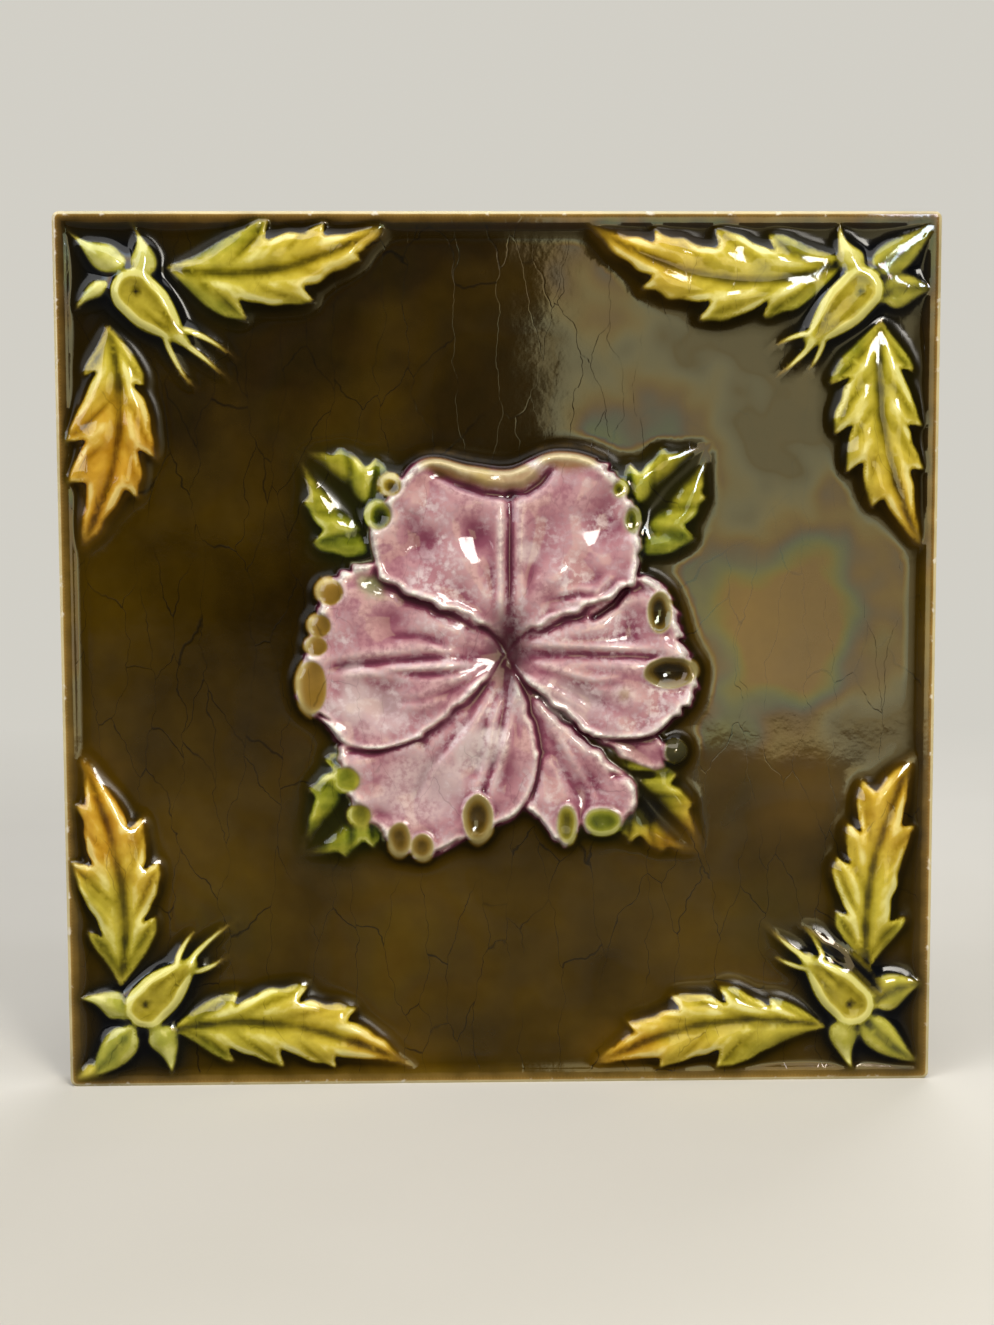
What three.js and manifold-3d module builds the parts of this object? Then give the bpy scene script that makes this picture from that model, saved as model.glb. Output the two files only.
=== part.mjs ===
// Six inch relief tile, in millimetres, +Z up. The origin is the centre of the flat back,
// +Y runs into the wall, +X is to the right when the face is looked at.
// Body: thin raised rim, cove and sunk field, with keying pockets in the back.
// Relief: an open flower over four leaf tips, and in each corner a bud, two leaves and small sepals.
import * as THREE from "three";
import { mergeVertices } from "three/addons/utils/BufferGeometryUtils.js";
import Module from "manifold-3d";

const wasm = await Module();
wasm.setup();

// Body
const tileSide = 152;
const rimHeight = 9;
const fieldHeight = 8.2;
const rimWidth = 1.6;
const coveWidth = 2.4;
const arris = 0.5;
const cornerRadius = 1.2;
const cornerSteps = 3;

// Keying pockets of the back: an even number a side, so that two ribs cross at the centre
const pocketsPerSide = 4;
const pocketPitch = 34;
const pocketWidth = 27;
const pocketDepth = 1.4;
const pocketDraft = 1.2;

// Relief heights over the field
const leafRise = 2.3;
const tipRise = 1.7;
const budRise = 2.8;
const sepalRise = 1.9;
const petalRise = 3.7;
const throatRise = 1.1;
const rootDepth = 3;

// Shares of a blade's own size: how far a tooth falls back, where its crest runs, and its heights
const notchShare = 0.76;
const bodyShare = 0.45;
const edgeShare = 0.4;
const pointWidth = 0.12;
const bladeSteps = 6;
const toothGap = 0.012;

// Leaves: from the stem through the middle of the midrib to the tip. Teeth are listed as
// [share along, half width], on the side to the left of the way to the tip and on the right.
const leaves = [
  {
    base: [-55, 66.4], middle: [-37, 66.4], tip: [-17.6, 74.8],
    left: [[0.46, 8.9], [0.72, 5.6]],
    right: [[0.32, 8.2], [0.57, 6.9], [0.8, 3.4]],
  },
  {
    base: [-66.8, 55.6], middle: [-65.2, 38], tip: [-72.2, 18.6],
    left: [[0.27, 4.5], [0.54, 6.4], [0.71, 5.6]],
    right: [[0.2, 6.5], [0.55, 9.2], [0.75, 7.1]],
  },
  {
    base: [59, 67.7], middle: [38, 64.6], tip: [13.8, 74.8],
    left: [[0.32, 6.4], [0.51, 7.8], [0.71, 5.4]],
    right: [[0.29, 8.4], [0.52, 8.5], [0.75, 5]],
  },
  {
    base: [65.8, 56.4], middle: [66.4, 38], tip: [73.5, 18.2],
    left: [[0.22, 6.7], [0.48, 6.9], [0.68, 5.6]],
    right: [[0.26, 8.5], [0.45, 8.8], [0.6, 7.9], [0.76, 5.4]],
  },
  {
    base: [-66.8, -56.7], middle: [-66.4, -38.5], tip: [-73.2, -17],
    left: [[0.23, 7], [0.57, 8.4], [0.82, 4.5]],
    right: [[0.29, 5.7], [0.5, 7.2], [0.68, 6.6]],
  },
  {
    base: [-56.8, -65.8], middle: [-36.5, -65.2], tip: [-15, -73.3],
    left: [[0.27, 5.6], [0.51, 7.6], [0.7, 5.8]],
    right: [[0.24, 7.6], [0.47, 7.9], [0.7, 6.2]],
  },
  {
    base: [56.2, -66.3], middle: [37, -65.3], tip: [15.4, -73.3],
    left: [[0.48, 9], [0.74, 6.4]],
    right: [[0.24, 3.9], [0.42, 6.1], [0.6, 6.3], [0.79, 4.4]],
  },
  {
    base: [64.9, -55], middle: [65.5, -37], tip: [73.6, -17],
    left: [[0.26, 5.8], [0.47, 7.1], [0.61, 6.5], [0.79, 7]],
    right: [[0.24, 7.7], [0.69, 5.4]],
  },
];

// Tips of the leaves that lie crosswise under the flower
const leafTips = [
  {
    base: [-17, 17], middle: [-26, 26.5], tip: [-34.8, 35.2],
    left: [[0.5, 9.6], [0.74, 6.2]], right: [[0.6, 9.6], [0.82, 6.2]],
  },
  {
    base: [17, 17], middle: [27, 26.5], tip: [36.5, 36.5],
    left: [[0.56, 8.6], [0.78, 6]], right: [[0.52, 9.4], [0.74, 6.4]],
  },
  {
    base: [-17, -17], middle: [-26, -26], tip: [-35, -35],
    left: [[0.62, 8.4], [0.8, 6.2]], right: [[0.42, 9.6], [0.64, 7.6]],
  },
  {
    base: [17, -17], middle: [26, -26], tip: [35.4, -35.2],
    left: [[0.5, 7.6], [0.72, 5.8]], right: [[0.6, 8], [0.8, 5.2]],
  },
];

// Buds from the round end to the mouth, with the threads that curl out of the mouth
const buds = [
  {
    from: [-63.6, 63.8], to: [-52.6, 52.8], halfWidth: 3.9,
    threads: [[[-56.4, 54], [-50, 43.6]], [[-54.6, 54.2], [-44.6, 45.2]], [[-53.6, 55.6], [-43.4, 48.8]]],
  },
  {
    from: [63.2, 64.2], to: [51.6, 52], halfWidth: 3.9,
    threads: [[[55.6, 53.6], [51.6, 47.2]], [[53.6, 55], [45.2, 51.2]], [[54, 53.6], [45.4, 46.2]]],
  },
  {
    from: [-63.8, -62.8], to: [-52.4, -52.2], halfWidth: 3.7,
    threads: [[[-56.4, -53], [-51.4, -46.6]], [[-53.4, -55.4], [-47.2, -51.4]], [[-54.6, -53.4], [-44.2, -45.2]]],
  },
  {
    from: [63.6, -63.4], to: [52.4, -52.4], halfWidth: 3.8,
    threads: [[[56.6, -53.4], [51.6, -47.4]], [[54, -55.8], [46.2, -51.8]], [[54, -54], [45.3, -46.7]]],
  },
];

// Small sepals round the foot of each bud: base, tip, half width and sideways bow
const sepals = [
  [[-64.8, 67.6], [-75.2, 74.9], 2.5, 0.6],
  [[-60.6, 66.4], [-63.8, 75.2], 2.2, -1.2],
  [[-67.6, 63.8], [-73, 58.8], 1.5, -0.6],
  [[61.6, 66.6], [58.4, 75.2], 2.2, 0.8],
  [[64.2, 66.2], [75.2, 74.9], 3, -0.8],
  [[65.8, 61.6], [75, 62.6], 3.2, 0.8],
  [[-66.2, -62.4], [-74.8, -60.4], 2.7, -0.8],
  [[-65.2, -65.8], [-73.6, -74.9], 3.2, 0.5],
  [[-60.6, -65.6], [-58.2, -74.4], 2.9, 0.6],
  [[65.8, -61.8], [75, -58.8], 3.5, 0.6],
  [[64.2, -64.8], [74.6, -73.4], 3, -0.4],
  [[60.8, -65.4], [62.8, -74.8], 2.9, -0.6],
];

// Knots where the stems of a corner meet
const knots = [[-66.4, 62.8], [65.6, 63], [-65.8, -63.4], [65, -63.4]];
const knotRadius = 2.4;
const knotRise = 1.6;

// Flower: the petals are fans round the throat. Angles in degrees run anticlockwise from +X. "near" is
// how far a side swings back at the throat. The radii of the outer edge stand at equal angles.
const throat = [1.2, 0];
const throatShare = 0.05;
const petals = {
  lowerRight: {
    start: -84, end: -45, nearStart: 0, nearEnd: -12, level: 0.52, groove: 0.55,
    radii: [27, 29.4, 34.4, 32.6, 33.8, 35.4, 35.6, 35, 32],
  },
  sliver: {
    start: -42, end: -27, nearStart: -6, nearEnd: 0, level: 0.44, groove: 0.4,
    radii: [27, 32.6, 33.6, 32, 28],
  },
  bottom: {
    start: -152, end: -71, nearStart: 20, nearEnd: 9, level: 0.68, groove: 0.62,
    radii: [33.6, 35.6, 37.2, 37.6, 38.6, 37.6, 33, 30.2, 28.2, 23.6, 17.5],
  },
  right: {
    start: -45, end: 35, nearStart: -15, nearEnd: 20, level: 0.86, groove: 0.55,
    radii: [20.4, 24.6, 29, 31, 33.2, 32.4, 30.6, 30.2, 29.6, 28.4, 25],
  },
  left: {
    start: 143, end: 224, nearStart: -20, nearEnd: 10, level: 0.82, groove: 0.5,
    radii: [28, 31.2, 33, 33.6, 34.2, 35, 36.6, 33.6, 32.6, 28, 20.4],
  },
  top: {
    start: 30, end: 149, nearStart: 22, nearEnd: -30, level: 1, groove: 0.5, lip: [0.3, 0.7],
    radii: [25.4, 30.3, 34.6, 37, 36, 32.2, 33.4, 36.7, 34.6, 32.3, 26],
  },
};
const petalRows = [0.12, 0.26, 0.42, 0.6, 0.78, 0.88, 0.94];
const petalColumnDegrees = 6;

// Pits in the frilled edges: [x, z, radius across, radius up]
const frillPits = [
  [-20.8, 24.3, 2, 2.2], [-18.5, 29.3, 1.5, 1.6], [22.6, 23.6, 1.4, 2.2], [20.4, 28.4, 1.2, 1.4],
  [27.6, 7.5, 2.2, 3.2], [28.6, -3, 4.4, 2.3], [-29, 11, 2, 2], [-31, 5, 1.8, 1.7],
  [-31.4, 1.8, 1.7, 1.5], [-32.6, -5.3, 2.3, 4.2], [-26.2, -21.5, 1.9, 1.9], [-24, -27.6, 1.6, 1.6],
  [-17.8, -31.2, 1.9, 2.5], [-13.5, -32.6, 1.8, 1.9], [-3.8, -27.6, 2.4, 3.4], [11.8, -28.8, 1.5, 2.8],
  [17.6, -28.6, 2.8, 2],
];
const pitDepth = 1.5;
const pitHeight = 3.1;

function solidOf(geometry) {
  geometry.deleteAttribute("normal");
  geometry.deleteAttribute("uv");
  const merged = mergeVertices(geometry, 1e-4);
  return new wasm.Manifold(
    new wasm.Mesh({
      numProp: 3,
      vertProperties: new Float32Array(merged.attributes.position.array),
      triVerts: new Uint32Array(merged.index.array),
    }),
  );
}

function geometryOf(positions, triangles) {
  const geometry = new THREE.BufferGeometry();
  geometry.setAttribute("position", new THREE.Float32BufferAttribute(positions.flat(), 3));
  geometry.setIndex(triangles.flat());
  return geometry;
}

// A closed solid over a grid: place(u, v) gives [x, z, height], with u to v anticlockwise on the face.
function patchSolid(us, vs, place) {
  const top = us.flatMap((u) => vs.map((v) => place(u, v)));
  const count = top.length;
  const at = (i, j) => i * vs.length + j;
  const positions = [
    ...top.map(([x, z, height]) => [x, -height, z]),
    ...top.map(([x, z]) => [x, rootDepth - fieldHeight, z]),
  ];
  const triangles = [];
  for (let i = 0; i < us.length - 1; i++)
    for (let j = 0; j < vs.length - 1; j++) {
      const [a, b, c, d] = [at(i, j), at(i + 1, j), at(i + 1, j + 1), at(i, j + 1)];
      triangles.push([a, b, c], [a, c, d], [a + count, c + count, b + count], [a + count, d + count, c + count]);
    }
  const edge = [
    ...us.map((_, i) => at(i, 0)),
    ...vs.slice(1).map((_, j) => at(us.length - 1, j + 1)),
    ...us.slice(1).map((_, i) => at(us.length - 2 - i, vs.length - 1)),
    ...vs.slice(2).map((_, j) => at(0, vs.length - 2 - j)),
  ];
  edge.forEach((p, i) => {
    const q = edge[(i + 1) % edge.length];
    triangles.push([q, p, p + count], [q, p + count, q + count]);
  });
  return solidOf(geometryOf(positions, triangles));
}

const smooth = (low, high, value) => THREE.MathUtils.smoothstep(value, low, high);
const bell = (distance, width) => Math.exp(-((distance / width) ** 2));

// Half width of a toothed edge: it swells to each tooth and falls back behind it.
function toothedWidth(teeth, u) {
  let start = [0, pointWidth];
  for (const [share, width] of teeth) {
    if (u <= share) {
      const part = (u - start[0]) / (share - start[0]);
      return THREE.MathUtils.lerp(start[1], width, Math.sin((part * Math.PI) / 2) ** 0.8);
    }
    start = [share, width * notchShare];
  }
  return Math.max(pointWidth, start[1] * (1 - (u - start[0]) / (1 - start[0])) ** 0.8);
}

// Half width of the line through the teeth, without the notches
function envelopeWidth(teeth, u) {
  const line = [[0, pointWidth], ...teeth, [1, pointWidth]];
  const next = Math.max(1, line.findIndex(([share]) => share >= u));
  const [[u0, w0], [u1, w1]] = [line[next - 1], line[next]];
  return THREE.MathUtils.lerp(w0, w1, (u - u0) / (u1 - u0));
}

// A blade along a bent midrib with a crest on each side of its crease
function bladeSolid({ base, middle, tip, left, right }, rise, crease) {
  const bend = middle.map((value, i) => 2 * value - (base[i] + tip[i]) / 2);
  const midrib = new THREE.QuadraticBezierCurve(...[base, bend, tip].map((point) => new THREE.Vector2(...point)));
  const regular = Array.from({ length: bladeSteps + 1 }, (_, i) => i / bladeSteps);
  const stations = [...left, ...right].flatMap(([share]) => [share, share + toothGap]);
  const us = [...regular, ...stations]
    .sort((a, b) => a - b)
    .filter((u, i, all) => i === 0 || u - all[i - 1] > toothGap / 2);
  const place = (u, v) => {
    const teeth = v > 0 ? left : right;
    const onEdge = Math.abs(v) === 1;
    const width = onEdge
      ? toothedWidth(teeth, u)
      : Math.abs(v) * Math.min(envelopeWidth(teeth, u), toothedWidth(teeth, u) / notchShare);
    const along = rise * (0.45 + 0.55 * smooth(0, 0.3, u) - 0.5 * smooth(0.6, 1, u));
    const fold = v === 0 ? 1 - crease : 1;
    const vein = onEdge ? edgeShare : 1 + 0.06 * Math.cos(u * 6 * Math.PI);
    const normal = midrib.getTangent(u).rotateAround(new THREE.Vector2(), Math.PI / 2);
    const point = midrib.getPoint(u).addScaledVector(normal, Math.sign(v) * width);
    return [point.x, point.y, fieldHeight + along * fold * vein];
  };
  return patchSolid(us, [-1, -bodyShare, 0, bodyShare, 1], place);
}

// A toothless taper between two points, used for sepals and the threads of a bud
function taperSolid(base, tip, halfWidth, bow, rise, steps) {
  const from = new THREE.Vector2(...base);
  const to = new THREE.Vector2(...tip);
  const side = to.clone().sub(from).normalize().rotateAround(new THREE.Vector2(), Math.PI / 2);
  const us = Array.from({ length: steps + 1 }, (_, i) => i / steps);
  const place = (u, v) => {
    const width = Math.max(pointWidth, halfWidth * Math.sin(Math.PI * (0.14 + 0.86 * u ** 0.7)));
    const point = from.clone().lerp(to, u).addScaledVector(side, bow * Math.sin(Math.PI * u) + v * width);
    return [point.x, point.y, fieldHeight + rise * (1 - 0.65 * u ** 2) * (1 - 0.62 * v ** 2)];
  };
  return patchSolid(us, [-1, -0.5, 0, 0.5, 1], place);
}

// A bud: round end, raised rim on both sides and a shallow hollow that opens at the mouth
function budSolid({ from, to, halfWidth }) {
  const start = new THREE.Vector2(...from);
  const end = new THREE.Vector2(...to);
  const side = end.clone().sub(start).normalize().rotateAround(new THREE.Vector2(), Math.PI / 2);
  const us = [0, 0.05, 0.14, 0.28, 0.44, 0.6, 0.76, 0.9, 1];
  const place = (u, v) => {
    const round = Math.sqrt(1 - (1 - Math.min(1, u / 0.3)) ** 2);
    const width = halfWidth * Math.max(0.12, round) * (1 - 0.5 * smooth(0.3, 1, u));
    const point = start.clone().lerp(end, u).addScaledVector(side, v * width);
    const rimmed = Math.abs(v) === 1 ? edgeShare : 0.8 + 0.2 * Math.abs(v) / 0.66;
    const along = u === 0 ? 0.5 : 1 - 0.45 * smooth(0.5, 1, u);
    return [point.x, point.y, fieldHeight + budRise * rimmed * along];
  };
  return patchSolid(us, [-1, -0.66, -0.3, 0, 0.3, 0.66, 1], place);
}

// A petal: it rises out of the throat, with a groove along it, raised sides and a turned up outer edge.
function petalSolid({ start, end, nearStart, nearEnd, level, groove, radii, lip }) {
  const outline = new THREE.SplineCurve(radii.map((radius, i) => new THREE.Vector2(i / (radii.length - 1), radius)));
  const columns = Math.round((end - start) / petalColumnDegrees);
  const ts = Array.from({ length: columns + 1 }, (_, i) => i / columns);
  const place = (s, t) => {
    const swing = (1 - s) ** 1.5 * THREE.MathUtils.lerp(nearStart, nearEnd, t);
    const angle = THREE.MathUtils.degToRad(THREE.MathUtils.lerp(start, end, t) + swing);
    const radius = s * outline.getPoint(t).y;
    const width = THREE.MathUtils.degToRad(end - start) * radius;
    const sides = 0.14 * smooth(0.1, 0.3, s) * (bell(t * width, 2) + bell((1 - t) * width, 2));
    const fold = 0.26 * bell((t - groove) * width, 1.6) * (1 - smooth(0.75, 0.95, s));
    const pleats = 0.035 * Math.cos((t - groove) * Math.PI * 9) * smooth(0.2, 0.5, s);
    const frill = 0.1 * smooth(0.8, 0.94, s) - 0.2 * smooth(0.94, 1, s);
    const inLip = lip ? smooth(lip[0] - 0.06, lip[0] + 0.06, t) * (1 - smooth(lip[1] - 0.06, lip[1] + 0.06, t)) : 0;
    const turned = inLip * (0.12 * smooth(0.88, 0.94, s) - 0.3 * bell(s - 0.88, 0.03));
    const shape = 0.86 + sides - fold + pleats + frill + turned;
    const rise = THREE.MathUtils.lerp(throatRise, petalRise * level * shape, smooth(0.02, 0.34, s));
    return [throat[0] + radius * Math.cos(angle), throat[1] + radius * Math.sin(angle), fieldHeight + rise];
  };
  return patchSolid([throatShare, ...petalRows, 1], ts, place);
}

// One closed ring of the body: a square with rounded corners
function ringPoints(half, height) {
  const radius = Math.max(0.3, cornerRadius - (tileSide / 2 - half) / 2);
  const points = [];
  for (const [corner, [sx, sz]] of [[1, 1], [-1, 1], [-1, -1], [1, -1]].entries())
    for (let step = 0; step <= cornerSteps; step++) {
      const angle = (corner + step / cornerSteps) * (Math.PI / 2);
      points.push([
        sx * (half - radius) + radius * Math.cos(angle),
        -height,
        sz * (half - radius) + radius * Math.sin(angle),
      ]);
    }
  return points;
}

// Body lofted from the back, over the arris and the rim, down the cove to the sunk field
function bodySolid() {
  const half = tileSide / 2;
  const inner = half - rimWidth;
  const drop = rimHeight - fieldHeight;
  const rings = [
    ringPoints(half, 0),
    ringPoints(half, rimHeight - arris),
    ringPoints(half - arris * 0.3, rimHeight - arris * 0.3),
    ringPoints(half - arris, rimHeight),
    ringPoints(inner, rimHeight),
    ringPoints(inner - coveWidth * 0.25, fieldHeight + drop * 0.7),
    ringPoints(inner - coveWidth * 0.6, fieldHeight + drop * 0.2),
    ringPoints(inner - coveWidth, fieldHeight),
  ];
  const count = rings[0].length;
  const positions = [...rings.flat(), [0, 0, 0], [0, -fieldHeight, 0]];
  const [backCentre, faceCentre] = [positions.length - 2, positions.length - 1];
  const lastRing = (rings.length - 1) * count;
  const triangles = [];
  for (let i = 0; i < count; i++) {
    const j = (i + 1) % count;
    for (let ring = 0; ring < rings.length - 1; ring++) {
      const [low, high] = [ring * count, (ring + 1) * count];
      triangles.push([low + i, low + j, high + j], [low + i, high + j, high + i]);
    }
    triangles.push([backCentre, j, i], [faceCentre, lastRing + i, lastRing + j]);
  }
  return solidOf(geometryOf(positions, triangles));
}

// A shallow keying pocket with sloped sides, its mouth a little outside the back
function pocketSolid(x, z) {
  const over = 0.2;
  const corner = Math.SQRT2 / 2;
  const geometry = new THREE.CylinderGeometry(
    pocketWidth * corner,
    (pocketWidth - 2 * pocketDraft) * corner,
    pocketDepth + over,
    4,
  );
  geometry.rotateY(Math.PI / 4);
  geometry.translate(x, (over - pocketDepth) / 2, z);
  return solidOf(geometry);
}

function domeSolid([x, z], radius, rise) {
  const geometry = new THREE.SphereGeometry(1, 8, 6);
  geometry.scale(radius, rise, radius);
  geometry.translate(x, -fieldHeight, z);
  return solidOf(geometry);
}

function pitSolid([x, z, acrossRadius, upRadius]) {
  const geometry = new THREE.IcosahedronGeometry(1, 1);
  geometry.scale(acrossRadius, pitDepth, upRadius);
  geometry.translate(x, -(fieldHeight + pitHeight), z);
  return solidOf(geometry);
}

const middleOf = (a, b) => a.map((value, i) => (value + b[i]) / 2);

const reliefSolids = [
  ...leafTips.map((tip) => bladeSolid(tip, tipRise, 0.8)),
  ...leaves.map((leaf) => bladeSolid(leaf, leafRise, 0.3)),
  ...buds.map(budSolid),
  ...buds.flatMap(({ threads }) => threads.map(([base, tip]) => taperSolid(base, tip, 0.9, 0.5, sepalRise, 3))),
  ...sepals.map(([base, tip, halfWidth, bow]) => taperSolid(base, tip, halfWidth, bow, sepalRise, 5)),
  ...knots.map((knot) => domeSolid(knot, knotRadius, knotRise)),
  domeSolid(throat, 4, throatRise),
  ...Object.values(petals).map(petalSolid),
];
const firstPocket = -((pocketsPerSide - 1) / 2) * pocketPitch;
const pocketSolids = Array.from({ length: pocketsPerSide ** 2 }, (_, i) =>
  pocketSolid(
    firstPocket + (i % pocketsPerSide) * pocketPitch,
    firstPocket + Math.floor(i / pocketsPerSide) * pocketPitch,
  ),
);

// Everything is trimmed to the square of the tile, as the press mould does.
const mouldSide = tileSide - 2 * arris;
const mould = new THREE.BoxGeometry(mouldSide, 4 * rimHeight, mouldSide);
const carved = reliefSolids.reduce((sum, solid) => sum.add(solid));
const relief = frillPits.reduce((sum, pit) => sum.subtract(pitSolid(pit)), carved).intersect(solidOf(mould));
const tileSolid = pocketSolids.reduce((sum, pocket) => sum.subtract(pocket), bodySolid().add(relief));

const cut = tileSolid.getMesh();
const tileGeometry = new THREE.BufferGeometry();
tileGeometry.setAttribute("position", new THREE.BufferAttribute(new Float32Array(cut.vertProperties), 3));
tileGeometry.setIndex(Array.from(cut.triVerts));
tileGeometry.computeVertexNormals();

const glaze = new THREE.MeshStandardMaterial({ color: "#4a380f", roughness: 0.12, metalness: 0 });
const tile = new THREE.Mesh(tileGeometry, glaze);
tile.name = "relief_tile";

const object = new THREE.Group();
object.add(tile);

export default object;
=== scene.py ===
"""Dresses the relief tile: the pressed and glazed face, the plain clay back, and a pale studio.

The tile stands upright on its lower edge. Heights over the back are in millimetres while the face is
worked out, and every mesh is in metres, in the shared frame: the face looks towards -Y and +Z is up.
"""

import logging
import math
from dataclasses import dataclass, field
from enum import Enum

import bpy
import numpy as np
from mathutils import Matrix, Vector


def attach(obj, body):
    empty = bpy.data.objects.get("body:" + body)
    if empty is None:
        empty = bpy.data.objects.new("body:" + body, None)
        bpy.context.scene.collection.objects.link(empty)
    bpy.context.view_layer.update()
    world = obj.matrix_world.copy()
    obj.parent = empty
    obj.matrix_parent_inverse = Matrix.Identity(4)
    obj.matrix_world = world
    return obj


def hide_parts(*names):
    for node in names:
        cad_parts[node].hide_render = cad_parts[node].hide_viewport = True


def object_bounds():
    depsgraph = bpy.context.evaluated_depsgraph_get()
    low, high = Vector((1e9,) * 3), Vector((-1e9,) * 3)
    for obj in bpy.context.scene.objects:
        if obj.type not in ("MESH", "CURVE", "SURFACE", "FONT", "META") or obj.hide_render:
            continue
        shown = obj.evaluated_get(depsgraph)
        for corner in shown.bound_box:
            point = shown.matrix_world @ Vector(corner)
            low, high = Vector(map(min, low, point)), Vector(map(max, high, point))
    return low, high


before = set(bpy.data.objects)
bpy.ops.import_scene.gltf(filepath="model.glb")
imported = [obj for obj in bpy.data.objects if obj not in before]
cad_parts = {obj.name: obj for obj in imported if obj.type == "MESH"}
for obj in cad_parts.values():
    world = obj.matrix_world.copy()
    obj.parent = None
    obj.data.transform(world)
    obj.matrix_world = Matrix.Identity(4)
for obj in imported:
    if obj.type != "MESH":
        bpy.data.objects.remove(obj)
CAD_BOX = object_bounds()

LOG = logging.getLogger("relief_tile")

MM = 0.001
NODE = "relief_tile"

Pair = tuple[float, float]
Teeth = tuple[Pair, ...]
Window = tuple[slice, slice]
Tree = bpy.types.NodeTree
Socket = bpy.types.NodeSocket

TILE_SIDE_MM = (CAD_BOX[1].x - CAD_BOX[0].x) / MM
DEPTH_LIMIT_MM = -CAD_BOX[0].y / MM
HALF_MM = TILE_SIDE_MM / 2
RIM_HEIGHT_MM = 9.0
FIELD_HEIGHT_MM = 8.2
THROAT_MM: Pair = (1.2, 0.0)


def smooth(low: float, high: float, value: np.ndarray) -> np.ndarray:
    """Runs smoothly from 0 at low to 1 at high.

    Args:
        low: where the result is 0.
        high: where the result is 1.
        value: the numbers to map.

    Returns:
        The mapped numbers.
    """
    part = np.clip((value - low) / (high - low), 0.0, 1.0)
    return part * part * (3.0 - 2.0 * part)


def bell(distance: np.ndarray, width: float) -> np.ndarray:
    """A rounded ridge: 1 at distance 0, falling off over width."""
    return np.exp(-((distance / width) ** 2))


def cloudy(x: np.ndarray, z: np.ndarray, size: float, seed: int) -> np.ndarray:
    """Smooth irregular waves over the face.

    Args:
        x: places across, in mm.
        z: places up, in mm.
        size: how far apart the waves lie, in mm.
        seed: which waves.

    Returns:
        Values from -1 to 1.
    """
    cells = int(TILE_SIDE_MM / size) + 4
    table = np.random.default_rng(seed).uniform(-1.0, 1.0, (cells, cells))
    across = (x + HALF_MM) / size + 1.0
    up = (z + HALF_MM) / size + 1.0
    i = np.clip(np.floor(up).astype(int), 0, cells - 2)
    j = np.clip(np.floor(across).astype(int), 0, cells - 2)
    q = smooth(0.0, 1.0, across - j)
    p = smooth(0.0, 1.0, up - i)
    low = table[i, j] * (1 - q) + table[i, j + 1] * q
    high = table[i + 1, j] * (1 - q) + table[i + 1, j + 1] * q
    return low * (1 - p) + high * p


def softened(values: np.ndarray, reach: float) -> np.ndarray:
    """Blurs a grid, as a running glaze does to the clay under it.

    Args:
        values: the grid.
        reach: the blur's standard deviation in cells.

    Returns:
        The blurred grid.
    """
    arm = max(1, int(2.6 * reach))
    weights = np.exp(-0.5 * (np.arange(-arm, arm + 1) / reach) ** 2)
    weights /= weights.sum()
    for axis in (0, 1):
        pad = [(arm, arm) if a == axis else (0, 0) for a in (0, 1)]
        padded = np.pad(values, pad, mode="edge")
        total = np.zeros_like(values)
        for k, weight in enumerate(weights):
            window = [slice(None), slice(None)]
            window[axis] = slice(k, k + values.shape[axis])
            total += weight * padded[tuple(window)]
        values = total
    return values


def bent_line(start: Pair, middle: Pair, end: Pair, count: int = 40) -> np.ndarray:
    """Points along a parabola through three places.

    Args:
        start: the first place.
        middle: the place half way along.
        end: the last place.
        count: how many points.

    Returns:
        The points, one a row.
    """
    first, centre, last = (np.array(place, float) for place in (start, middle, end))
    bend = 2 * centre - (first + last) / 2
    u = np.linspace(0, 1, count)[:, None]
    return (1 - u) ** 2 * first + 2 * u * (1 - u) * bend + u**2 * last


def beside_line(x: np.ndarray, z: np.ndarray, line: np.ndarray) -> tuple[np.ndarray, np.ndarray, float]:
    """Where places lie beside a line.

    Args:
        x: places across, in mm.
        z: places up, in mm.
        line: the line's points.

    Returns:
        The share along the line, the distance to its left, and the line's length.
    """
    steps = np.diff(line, axis=0)
    reached = np.concatenate([[0], np.cumsum(np.linalg.norm(steps, axis=1))])
    nearest = np.full(x.shape, 1e9)
    share = np.zeros(x.shape)
    offset = np.zeros(x.shape)
    for place, step, before in zip(line, steps, reached):
        length = float(np.hypot(*step))
        q = np.clip(((x - place[0]) * step[0] + (z - place[1]) * step[1]) / length**2, 0, 1)
        dx = x - place[0] - q * step[0]
        dz = z - place[1] - q * step[1]
        distance = dx * dx + dz * dz
        near = distance < nearest
        nearest = np.where(near, distance, nearest)
        share = np.where(near, (before + q * length) / reached[-1], share)
        side = np.where(step[0] * dz - step[1] * dx >= 0, 1.0, -1.0)
        offset = np.where(near, side * np.sqrt(distance), offset)
    return share, offset, float(reached[-1])


class Zone(Enum):
    """What a place on the face is covered with. Each is one layer from 0 to 1."""

    PETAL = "petal"
    LEAF = "leaf"
    GREEN = "green"
    AMBER = "amber"
    OCHRE = "ochre"
    PALE = "pale"
    DARK = "dark"
    HUB = "hub"


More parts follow.
